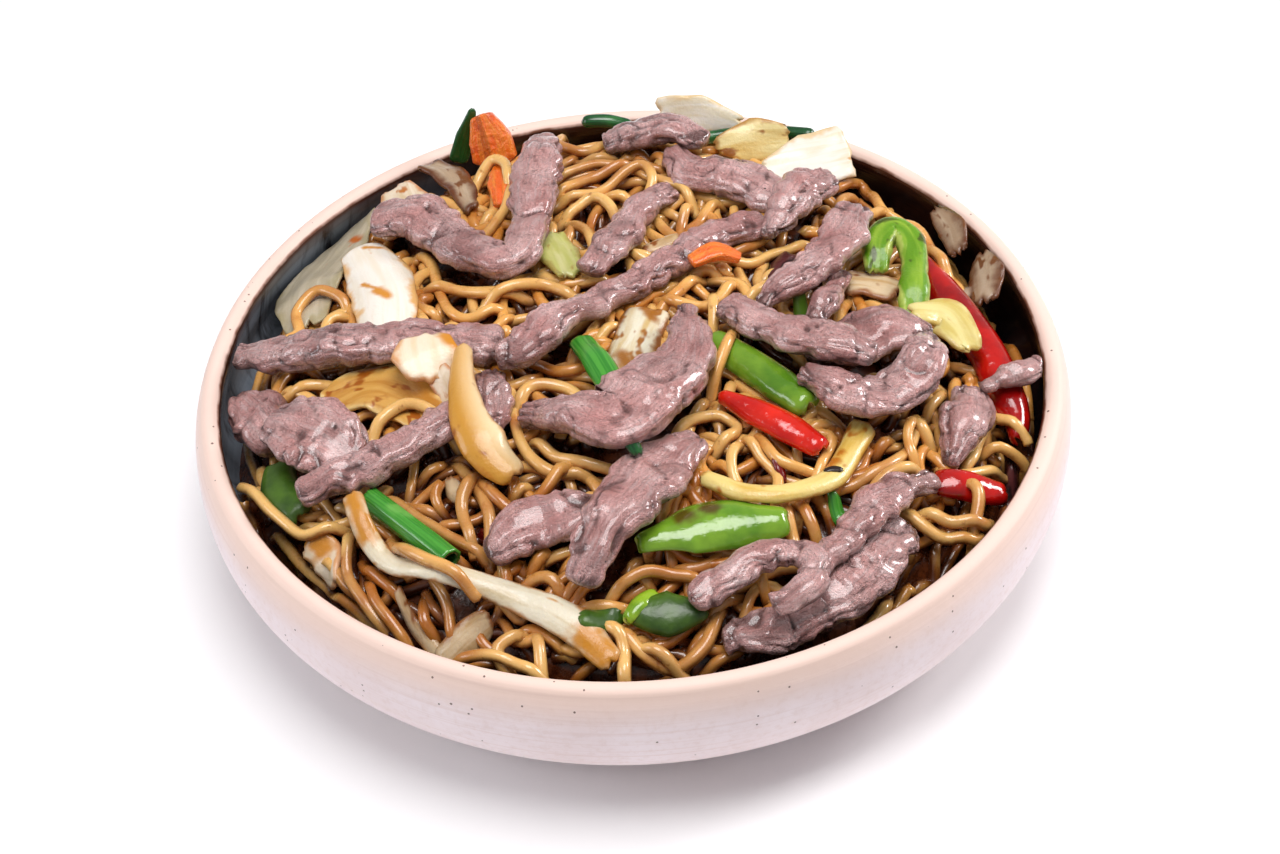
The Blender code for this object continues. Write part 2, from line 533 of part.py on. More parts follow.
def clear_run(path, trees, clearance):
    """The longest stretch of a noodle that keeps clear of the toppings."""
    free = [all(tree.find_nearest(Vector(p), clearance)[0] is None for tree in trees) for p in path]
    best, start = (0, 0), None
    for i, is_free in enumerate(free + [False]):
        if is_free and start is None:
            start = i
        elif not is_free and start is not None:
            if i - start > best[1] - best[0]:
                best = (start, i)
            start = None
    return path[best[0]:best[1]]


def noodle_path(route, core_tree, topping_trees):
    """The axis of a noodle that dips into the core at both ends, or None where there is no room."""
    plan = curve_through(route, NOODLE_SAMPLES)[0]
    plan = plan[np.hypot(plan[:, 0], plan[:, 1]) < NOODLE_REACH]
    path = np.array([(x, y, top_at(x, y, [core_tree]) + NOODLE_PROUD) for x, y in plan])
    path = clear_run(path, topping_trees, NOODLE_DIAMETER / 2 + GAP)
    if len(path) < 4:
        return None
    length = np.linalg.norm(np.diff(path, axis=0), axis=1).sum()
    if length < SHORTEST_NOODLE:
        return None
    count = max(4, round(length / NOODLE_STEP) + 1)
    path = resampled(path, count)
    path[[0, -1], 2] -= NOODLE_END_DIP
    return path


def noodle_tube(path):
    count = len(path)
    forward = directions(path)
    side = np.stack([-forward[:, 1], forward[:, 0], np.zeros(count)], axis=1)
    side /= np.linalg.norm(side, axis=1)[:, None]
    up = np.cross(forward, side)
    angles = np.arange(NOODLE_SIDES) * (2 * math.pi / NOODLE_SIDES)
    radius = NOODLE_DIAMETER / 2
    rings = [path[i] + radius * (np.outer(np.cos(angles), side[i]) + np.outer(np.sin(angles), up[i]))
             for i in range(count)]
    tip = radius * NOODLE_TIP
    return closed_tube(rings, [path[0] - forward[0] * tip, path[-1] + forward[-1] * tip])


def loose_route(draw):
    """An evenly bending route that starts anywhere on the heap."""
    reach = HEAP_RADIUS * math.sqrt(draw.random())
    turn = draw.uniform(0, 2 * math.pi)
    heading = draw.uniform(0, 2 * math.pi)
    bend = draw.uniform(-MOST_BEND, MOST_BEND)
    route = [(reach * math.cos(turn), reach * math.sin(turn))]
    for _ in range(LOOSE_BENDS):
        x, y = route[-1]
        route.append((x + LOOSE_STEP * math.cos(heading), y + LOOSE_STEP * math.sin(heading)))
        heading += bend
    return route


def noodle_paths(core_tree, topping_trees):
    """The read noodles, then loose ones where the heap is still bare."""
    paths = [noodle_path(route, core_tree, topping_trees) for route in NOODLES]
    paths = [path for path in paths if path is not None]
    draw = random.Random(7)
    for _ in range(LOOSE_TRIES):
        if len(paths) == MOST_NOODLES:
            break
        path = noodle_path(loose_route(draw), core_tree, topping_trees)
        if path is None:
            continue
        placed = np.vstack(paths)[:, :2]
        apart = np.linalg.norm(path[:, None, :2] - placed[None], axis=2)
        if apart.min() > LOOSE_SPACING:
            paths.append(path)
    return paths


def material(kind):
    found = bpy.data.materials.get(kind)
    if found:
        return found
    colour, roughness = COLOURS[kind]
    made = bpy.data.materials.new(kind)
    made.use_nodes = True
    shader = made.node_tree.nodes["Principled BSDF"]
    shader.inputs["Base Color"].default_value = (*colour, 1.0)
    shader.inputs["Roughness"].default_value = roughness
    made.diffuse_color = (*colour, 1.0)
    return made


def add_object(name, kind, points, faces, collection):
    mesh = bpy.data.meshes.new(name)
    mesh.from_pydata([tuple(p * MILLIMETRE) for p in np.asarray(points)], [], faces)
    shaped = bmesh.new()
    shaped.from_mesh(mesh)
    bmesh.ops.recalc_face_normals(shaped, faces=shaped.faces)
    shaped.to_mesh(mesh)
    shaped.free()
    mesh.materials.append(material(kind))
    mesh.shade_smooth()
    mesh.set_sharp_from_angle(angle=math.radians(SHARP_ANGLE))
    made = bpy.data.objects.new(name, mesh)
    collection.objects.link(made)
    return made


def add_bowl(collection):
    """The bowl, turned from its profile."""
    profile = bowl_profile()
    mesh = bpy.data.meshes.new("bowl")
    points = [(r * MILLIMETRE, 0.0, z * MILLIMETRE) for r, z in profile]
    mesh.from_pydata(points, [(i, i + 1) for i in range(len(points) - 1)], [])
    mesh.materials.append(material("bowl"))
    bowl = bpy.data.objects.new("bowl", mesh)
    collection.objects.link(bowl)
    turn = bowl.modifiers.new("turn", "SCREW")
    turn.axis = "Z"
    turn.steps = BOWL_SEGMENTS
    turn.render_steps = BOWL_SEGMENTS
    turn.use_merge_vertices = True
    turn.merge_threshold = SCREW_MERGE
    turn.use_smooth_shade = True
    return bowl


def largest_body(mesh):
    """Keeps the one body of a union and drops loose scraps and sealed hollows."""
    shaped = bmesh.new()
    shaped.from_mesh(mesh)
    bmesh.ops.triangulate(shaped, faces=shaped.faces)
    unseen = set(shaped.verts)
    groups = []
    while unseen:
        group, front = set(), [next(iter(unseen))]
        while front:
            vertex = front.pop()
            if vertex in group:
                continue
            group.add(vertex)
            front += [edge.other_vert(vertex) for edge in vertex.link_edges]
        unseen -= group
        groups.append(group)
    keep = max(groups, key=len)
    bmesh.ops.delete(shaped, geom=[v for v in shaped.verts if v not in keep], context="VERTS")
    shaped.to_mesh(mesh)
    shaped.free()


def add_heap(collection, core_points, core_faces, core_tree, topping_trees):
    """The core with the open noodles fused on by one union."""
    heap = add_object("noodle_heap", "noodle_heap", core_points, core_faces, collection)
    fused = bpy.data.collections.new("fused_noodles")
    bpy.context.scene.collection.children.link(fused)
    for number, path in enumerate(noodle_paths(core_tree, topping_trees), 1):
        add_object(f"fused_noodle_{number:02d}", "noodle_heap", *noodle_tube(path), fused)
    union = heap.modifiers.new("fuse", "BOOLEAN")
    union.operation = "UNION"
    union.operand_type = "COLLECTION"
    union.collection = fused
    bpy.context.view_layer.update()
    evaluated = heap.evaluated_get(bpy.context.evaluated_depsgraph_get())
    joined = bpy.data.meshes.new_from_object(evaluated)
    heap.modifiers.clear()
    heap.data = joined
    largest_body(joined)
    joined.shade_smooth()
    joined.set_sharp_from_angle(angle=math.radians(SHARP_ANGLE))
    for one in list(fused.objects):
        bpy.data.objects.remove(one)
    bpy.data.collections.remove(fused)


def main():
    for one in list(bpy.data.objects):
        bpy.data.objects.remove(one)
    collection = bpy.data.collections.new("noodle_bowl")
    bpy.context.scene.collection.children.link(collection)
    add_bowl(collection)
    core_points, core_faces = heap_core()
    core_tree = BVHTree.FromPolygons([tuple(p) for p in core_points], core_faces)
    trees = [core_tree]
    numbers = {}
    for piece in TOPPINGS:
        numbers[piece.kind] = numbers.get(piece.kind, 0) + 1
        number = numbers[piece.kind]
        points, faces = topping_mesh(piece, number, trees)
        add_object(f"{piece.kind}_{number:02d}", piece.kind, points, faces, collection)
        trees.append(BVHTree.FromPolygons([tuple(p) for p in points], faces))
    add_heap(collection, core_points, core_faces, core_tree, trees[1:])


main()
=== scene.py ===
"""The looks of a bowl of stir fried noodles with beef and vegetables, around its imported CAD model.

Lengths are in millimetres and become metres when a mesh is made. Routes are points in plan, with +X to
the right and +Y to the back. Colours are written as they look on a screen, from 0 to 255.
"""
import collections
import itertools
import math
import random

import bpy
import numpy as np
from mathutils import Euler, Matrix, Vector
from mathutils.bvhtree import BVHTree


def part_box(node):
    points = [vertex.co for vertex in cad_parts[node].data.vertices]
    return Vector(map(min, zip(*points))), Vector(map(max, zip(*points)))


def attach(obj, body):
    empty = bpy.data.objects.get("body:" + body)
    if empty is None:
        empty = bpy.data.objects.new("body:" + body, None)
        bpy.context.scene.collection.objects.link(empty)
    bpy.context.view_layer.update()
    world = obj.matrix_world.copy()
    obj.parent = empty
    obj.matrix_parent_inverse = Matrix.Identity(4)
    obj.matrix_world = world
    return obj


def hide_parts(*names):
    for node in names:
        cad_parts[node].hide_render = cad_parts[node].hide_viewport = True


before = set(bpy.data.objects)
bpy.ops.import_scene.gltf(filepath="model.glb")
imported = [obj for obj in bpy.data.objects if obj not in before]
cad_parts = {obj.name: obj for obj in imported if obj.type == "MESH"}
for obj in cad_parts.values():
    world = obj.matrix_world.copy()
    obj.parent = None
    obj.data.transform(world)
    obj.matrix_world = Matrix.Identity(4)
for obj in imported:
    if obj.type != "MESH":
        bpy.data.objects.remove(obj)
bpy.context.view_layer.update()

MILLIMETRE = 0.001
HIGH_ABOVE = 300.0  # rays that look for a surface start here

# Camera, from the bowl's rim and foot in the photo
CAMERA_PLACE = (0.0, -487.2, 485.0)
CAMERA_TARGET = (1.70, -25.65, 46.0)
CAMERA_ROLL = -3.444  # degrees
CAMERA_LENS = 67.5
CAMERA_SENSOR = 36.0

# Bowl, as in the part
RIM_HEIGHT = 46.0
RIM_INNER_RADIUS = 112.0
LIP_WIDTH = 5.8
BELLY_RADIUS = 120.4
BELLY_HEIGHT = 30.9
FOOT_RADIUS = 79.5
INNER_BELLY_RADIUS = 114.4
FLOOR_RADIUS = 78.0
FLOOR_HEIGHT = 7.0
BOWL_SEGMENTS = 256
OUTLINE_SOFTENING = 12
BOWL_UNEVEN, RIM_UNEVEN = 0.28, 0.25  # of the hand-made outline, to each side
MIDDLE_HOLE = 0.5  # the rings stop here, and a point closes them
GLAZED, BARE_CLAY = 2.0, -1.5  # the glaze ends where this value passes half, on the lip
WALL_GLAZE, LIP_GLAZE = (1.9, 1.0), (0.85, -1.2)  # that value from the belly to the lip, and over the lip
FOOT_POINTS_KEPT = 3  # above the foot, which the softening leaves as they are
UNEVEN_WAVES, UNEVEN_HEIGHT = 1.6, 30.0
INSIDE_UNEVEN = 0.4  # the inside's share of the outside's unevenness
EVEN_MIDDLE = 60.0
RIM_WAVES, RIM_WAVE_START, RIM_WAVE_LENGTH = 1.3, 25.0, 20.0

# Heap of noodles, as in the part
HEAP_EDGE_HEIGHT = 37.0
HEAP_RISE = 17.0
HEAP_RADIUS = 106.0
BACK_RISE = 6.0
BACK_START = 30.0
BACK_LENGTH = 70.0
EDGE_DROP = 9.0
EDGE_DROP_START = 97.0
EDGE_DROP_LENGTH = 15.0
CROSS_WAVE_HEIGHT, CROSS_WAVE_X, CROSS_WAVE_Y = 0.7, 8.0, 9.0
SLANT_WAVE_HEIGHT, SLANT_WAVE_LENGTH = 0.5, 13.0

# The map in which noodles are laid on each other
CELL = 0.5
MAP_REACH = 120.0
MAP_CELLS = int(2 * MAP_REACH / CELL)
MAP_MARGIN = 4
CORE_DEPTH = 5.4  # the sauced core lies this far under the part's core
PIT_DEPTH, PIT_SIZE = 3.0, 17.0
CORE_RINGS, CORE_SEGMENTS = 90, 180
CORE_RADIUS = INNER_BELLY_RADIUS - 1.2
CORE_UNDERSIDE = ((0.99, 20.0), (0.93, 13.0), (0.8, 9.0), (0.5, 8.0))  # shares of its radius, and heights
BITS_SUNK = 0.2
BITS_SOFTENING = 3.0
FIRST_BIT_SEED = 100
NO_CEILING = 999.0
NOODLE_RADIUS = 1.55
NOODLE_THINNEST, NOODLE_THICKEST = 0.9, 1.1
NOODLE_SIDES = 10
NOODLE_STATION = 1.5
NOODLE_REACH = 109.6
TOPPING_CLEARANCE = 0.25
SINK = 0.5  # a noodle presses this far into those it lies on
NOODLE_BEND, DIVE_BEND = 13.0, 5.0  # tightest radii up and down, in the open and at a topping
TIGHTEST = -2.6  # less room than this under a topping ends a noodle
BURIED_MARGIN = 5.0  # further under a topping than this, nothing is made
SHORTEST_RUN, SHORTEST_FILL = 9.0, 17.0  # of a noodle seen, and of one laid by a rule
LEVEL_SLACK = 1.5  # how far over its pass's level a noodle may rise
END_DIP, END_DIP_LENGTH = 4.5, 7.0
SEEN_OVERRUN = 5  # how far a noodle runs on where it passes out of sight
PATH_SOFTENING = 1.5
NOODLE_TWIST, NOODLE_SQUARENESS, NOODLE_UNEVEN, NOODLE_TIP = 0.7, 0.07, 0.05, 0.35
TWIST_LENGTH, UNEVEN_LENGTH = 19.0, 5.3
DARK_START, DARK_DEPTH = 0.5, 6.0  # noodles darken as painted shade, partly sauce, from here over the part's core, over this depth
SEEN_DARKEST, SEEN_THINNEST = 0.6, 0.97
PIECE_TRIANGLES = 180000

# Passes that lay noodles by a rule: how high over the core each fills the heap, and how often it tries
LOW_PASSES = ((-3.4, 500), (-2.0, 600), (-0.8, 700))
WALL_PASSES = ((-3.0, 200), (-1.2, 250), (0.0, 150))
TOP_PASSES = ((0.2, 700), (0.9, 700))
ROUTE_LENGTHS, WALL_ROUTE_LENGTHS = (50, 150), (25, 70)
WALL_STRIP = 12.0  # a wall pass starts its noodles this close to the wall
SWINGS = (((0.6, 1.9), (45, 90)), ((0.1, 0.45), (17, 32)))  # how far, in radians, and over what lengths
SWING_STARTS = (0, 6.28)
WALL_HEADINGS = (-1.0, 1.0)  # radians away from running along the wall
ROUTE_DRIFT = 0.02
TURN_BACK_FROM = 14.0
TURN_BACK, TURN_MORE, TURN_MORE_FROM = 0.08, 0.16, 8  # radians a millimetre, and how close to the wall
HEADS_IN = -0.1  # a noodle that heads further in than this isn't turned back
BUNCH_SIZES = (1, 2, 3, 4)
BUNCH_GAPS = (0.0, 1.0)
FAN = (-0.006, 0.012)  # the share by which the noodles of a bunch spread with each millimetre

# Strips of meat and carrot: the power below 1 that squares a section, the ends' round stretch and their
# reach past the route as shares of the width, and the depths of edges, lumps, grooves, wrinkles and folds
Form = collections.namedtuple("Form", "power blunt tip ragged lumps grooves wrinkles folds")
FORMS = {
    "beef": Form(0.72, 0.3, 0.1, 0.8, 0.85, 0.7, 0.4, 0.7),
    "carrot": Form(0.5, 0.16, 0.02, 0.2, 0.15, 0.12, 0.06, 0.0),
}
FOOD_REACH = RIM_INNER_RADIUS - 0.6
LINE_STEP = 0.8
ACROSS_SHARE = 0.3  # of the width, to each side of a route, where the slope across a solid is read
ARCH_MEAN = 0.76  # of an arch's height, over the three places that a line is read at
LINE_SOFTENING, CENTRE_SOFTENING = 2.5, 2.0
TIP_REACH = 0.6
TIP_STEP = LINE_STEP * 0.6
STRIP_SIDES = 48
SHADED_BROWNED_END = 4.5  # this much of a strip's ends is darker, partly browned and partly painted shade
RAGGED_LENGTHS = (7.0, 2.8)
FIBRE_LENGTH, FIBRE_WIDTH = 20.0, 3.0
WRINKLE_LENGTH, WRINKLE_WIDTH = 7.0, 2.4
LUMP_SIZE, RIDGE_SIZE, FOLD_SIZE = 7.5, 9.0, 7.0
GRAIN_WARP, WARP_SIZE = 2.5, 6.0
FIBRE_CREASE, FOLD_CREASE, WRINKLE_CREASE = 0.16, 0.08, 0.13  # how wide a crease is, in its noise
GRAIN_APART, SHEETS_APART = 31.0, 17.0  # so that no two pieces have the same grain
SHEET_CELL = 0.75
DRIFT_REACH, DRIFT_LENGTH = 1.4, 6.0
LEAST_WAVE = 0.15
WAVE_SIZES = np.array([9.0, 7.0, 1.0])  # along a sheet, across it and from piece to piece
FRILL_SIZES = np.array([3.2, 6.0, 1.0])
THICKEST_SHEET = 1.25  # of the thickness that a piece states
THIN_END, BROWN_END = 2.0, 4.0
RIM_SKIN = 0.35  # a cut rim shows flesh rather than skin
STALK_SIDES = 28
STALK_AROUND = 22.0
STALK_RIDGES, STALK_RIDGE_DEPTH = 9, 0.06
STALK_DENTS, STALK_DENT_LENGTH = 0.06, 8.0
SPOT_RAGGED, SPOT_GRAIN = 0.5, 1.6
SPOT_REACH, SPOT_FADE = 1.7, 1.3  # of its radius

# Lights and floor, in metres
LIT_PLACE = (0, 0, 0.04)
LIGHTS = (
    ("overhead", (0.05, -0.05, 0.9), (0.7, 0.5), 6.5, (1.0, 0.98, 0.98)),
    ("key", (0.8, 0.3, 0.5), (0.3, 0.3), 4.5, (1.0, 0.97, 0.98)),
    ("fill", (-0.85, -0.1, 0.45), (0.5, 0.4), 2.3, (0.94, 0.96, 1.0)),
)
SKY_COLOUR, SKY_STRENGTH = (0.96, 0.96, 1.0, 1.0), 0.29
FLOOR_REACH = 6.0

# How rounded a sheet's corners are, how deep its waves, frills and drift, how thin its edges and how
# deep its veins
Cut = collections.namedtuple("Cut", "corner wave frill drift thin_edge veins")
CUTS = {
    "white_rib": Cut(0.07, 0.3, 0.12, 0.7, 0.35, 0.06),
    "white_slab": Cut(0.1, 0.25, 0.12, 0.4, 0.3, 0.05),
    "white_leaf": Cut(0.07, 0.5, 0.3, 1.0, 0.5, 0.1),
    "cream": Cut(0.1, 0.4, 0.3, 0.8, 0.4, 0.1),
    "browned": Cut(0.15, 0.6, 0.4, 0.8, 0.5, 0.08),
    "yellow": Cut(0.25, 0.7, 0.5, 1.0, 0.5, 0.3),
    "yellow_crumpled": Cut(0.2, 0.9, 0.9, 0.6, 0.5, 0.1),
    "yellow_strip": Cut(0.3, 0.3, 0.12, 0.5, 0.4, 0.15),
    "amber_strip": Cut(0.3, 0.4, 0.15, 0.3, 0.4, 0.1),
    "pale_strip": Cut(0.3, 0.3, 0.12, 0.5, 0.4, 0.15),
    "folded": Cut(0.12, 0.7, 0.5, 0.6, 0.5, 0.08),
    "pale_green": Cut(0.2, 0.7, 0.8, 1.0, 0.5, 0.4),
    "dark_leaf": Cut(0.25, 0.4, 0.3, 1.0, 0.5, 0.12),
    "glassy": Cut(0.2, 0.6, 0.3, 0.4, 0.45, 0.04),
    "brown_onion": Cut(0.16, 0.9, 0.6, 1.0, 0.45, 0.03),
    "green_yellow": Cut(0.2, 0.9, 0.9, 0.8, 0.5, 0.2),
    "purple_onion": Cut(0.2, 0.6, 0.5, 1.0, 0.45, 0.3),
    "onion_green": Cut(0.3, 0.2, 0.05, 0.2, 0.4, 0.0),
    "onion_dark": Cut(0.4, 0.2, 0.1, 0.2, 0.4, 0.0),
}
PEPPER_CUT = Cut(0.35, 0.4, 0.0, 0.3, 0.7, 0.0)

# Leaves: four colours, where stains start in their noise, how strong the edge's colour is and how clear
# the leaf is. A halved leaf has the second colour on one side, and a border starts that far out
Leaf = collections.namedtuple(
    "Leaf", "body streak edge stain stained edged clear halved border", defaults=(False, 0.72))
LEAVES = {
    "white_rib": Leaf((242, 234, 222), (236, 224, 204), (222, 160, 60), (208, 134, 14), 0.7, 0.85, 0.06),
    "white_slab": Leaf((238, 220, 194), (230, 206, 170), (208, 130, 44), (206, 134, 24), 0.70, 0.75, 0.12),
    "white_leaf": Leaf((232, 226, 216), (220, 208, 178), (214, 170, 88), (196, 136, 50), 0.72, 0.6, 0.2),
    "cream": Leaf((232, 214, 190), (214, 188, 148), (192, 112, 32), (184, 106, 26), 0.6, 0.8, 0.15),
    "browned": Leaf((228, 220, 196), (204, 174, 116), (138, 76, 14), (158, 96, 16), 0.56, 0.95, 0.2),
    "yellow": Leaf((214, 164, 84), (190, 128, 46), (238, 206, 140), (160, 84, 16), 0.58, 0.7, 0.2),
    "yellow_crumpled": Leaf((226, 212, 142), (206, 184, 100), (190, 146, 58), (170, 110, 26),
                            0.66, 0.6, 0.25),
    "yellow_strip": Leaf((232, 208, 130), (214, 174, 78), (196, 124, 26), (180, 104, 20), 0.62, 0.6, 0.2),
    "amber_strip": Leaf((204, 146, 54), (238, 214, 168), (186, 112, 24), (154, 82, 14),
                        0.64, 0.6, 0.15, halved=True),
    "pale_strip": Leaf((230, 220, 196), (208, 188, 148), (178, 108, 22), (196, 128, 16), 0.62, 0.85, 0.12),
    "folded": Leaf((232, 216, 156), (214, 184, 108), (166, 108, 34), (144, 84, 22), 0.62, 0.8, 0.2),
    "pale_green": Leaf((186, 186, 104), (206, 202, 140), (146, 112, 36), (152, 100, 28), 0.62, 0.6, 0.25),
    "dark_leaf": Leaf((180, 168, 142), (200, 188, 164), (158, 144, 92), (190, 96, 8),
                      0.68, 0.5, 0.12, border=0.6),
    "glassy": Leaf((216, 192, 156), (190, 152, 100), (142, 74, 20), (140, 76, 16),
                   0.58, 0.85, 0.25, border=0.6),
    "brown_onion": Leaf((172, 146, 118), (192, 172, 146), (96, 46, 10), (116, 66, 20),
                        0.56, 0.97, 0.15, border=0.2),
    "green_yellow": Leaf((98, 148, 22), (140, 176, 50), (200, 206, 108), (70, 84, 18),
                         0.6, 0.6, 0.06, border=0.8),
    "purple_onion": Leaf((64, 26, 28), (104, 52, 52), (36, 12, 12), (28, 10, 8), 0.5, 0.7, 0.1),
}

# Peppers: two colours of the skin, one of the flesh, and how rough the skin is
Skin = collections.namedtuple("Skin", "light dark flesh rough", defaults=(0.13,))
SKINS = {
    "green": Skin((122, 164, 44), (84, 132, 28), (178, 198, 100)),
    # A darker copy of green, partly from sauce and partly painted shade.
    "dark_green": Skin((74, 108, 26), (38, 68, 16), (112, 120, 48), 0.36),
    "yellow_green": Skin((150, 186, 44), (96, 140, 30), (196, 208, 104)),
    "red": Skin((196, 22, 14), (142, 8, 8), (206, 70, 34)),
    "bright_red": Skin((226, 38, 18), (188, 16, 10), (228, 92, 44)),
    "dark_red": Skin((122, 16, 14), (74, 8, 8), (120, 30, 18)),
    "burnt": Skin((40, 26, 22), (20, 12, 12), (44, 30, 24), 0.3),
}
SKIN_SHINE = 0.065  # the rougher a skin, the less it shines

Stalk = collections.namedtuple("Stalk", "light dark pale")
STALKS = {
    "onion_green": Stalk((76, 156, 54), (50, 130, 40), (122, 184, 88)),
    "onion_dark": Stalk((26, 88, 40), (12, 54, 26), (58, 120, 60)),
}

# Stains on toppings, each by its two ends in plan and its radius
SPOTS = {
    "green_pepper_03": ((11, -69, 11.5, -68.5, 2.6), (17, -66.5, 18, -66.5, 2.2)),
    "cabbage_01": ((-79, 65, -77, 63, 1.4),),
    "cabbage_04": ((-73.4, 32.2, -69, 28, 0.6), (-69, 27.5, -66, 24, 1.3), (-74, 50, -69, 50, 0.7)),
    "cabbage_06": ((5, 8, 7, 4, 1.5), (-2, -10, -1, -14, 2.0)),
    "cabbage_07": ((-14, -98, -11, -103, 4.0), (-73, -53, -69, -63, 2.6)),
    "cabbage_08": ((50, -51, 51, -50, 1.6), (52, -48, 53, -47, 0.8)),
    "cabbage_10": ((-48, -3, -46, -7, 2.2),),
    "small_bit_05": ((-87, -52, -82, -56, 3.0),),
}

# The kinds of food, each with its looks
LOOKS = {
    "beef": ("beef",),
    "carrot": ("carrot",),
    "cabbage": ("white_rib", "white_slab", "white_leaf", "cream", "browned", "yellow", "yellow_crumpled",
                "yellow_strip", "amber_strip", "pale_strip", "folded", "pale_green", "dark_leaf", "burnt"),
    "onion": ("glassy", "brown_onion", "purple_onion"),
    "spring_onion": ("onion_green", "onion_dark"),
    "green_pepper": ("green", "dark_green", "yellow_green", "green_yellow"),
    "red_pepper": ("red", "bright_red", "dark_red"),
}
KIND_OF = {look: kind for kind, looks in LOOKS.items() for look in looks}


class Topping(collections.namedtuple("Topping", "look route widths thick arch wave side hollow round_stalk",
                                     defaults=(0.0, 0.0, 0.0, None, 0.0, False))):
    """A topping with the look that it has in the photo. A route with heights stands or leans."""

    @property
    def kind(self):
        return KIND_OF[self.look]


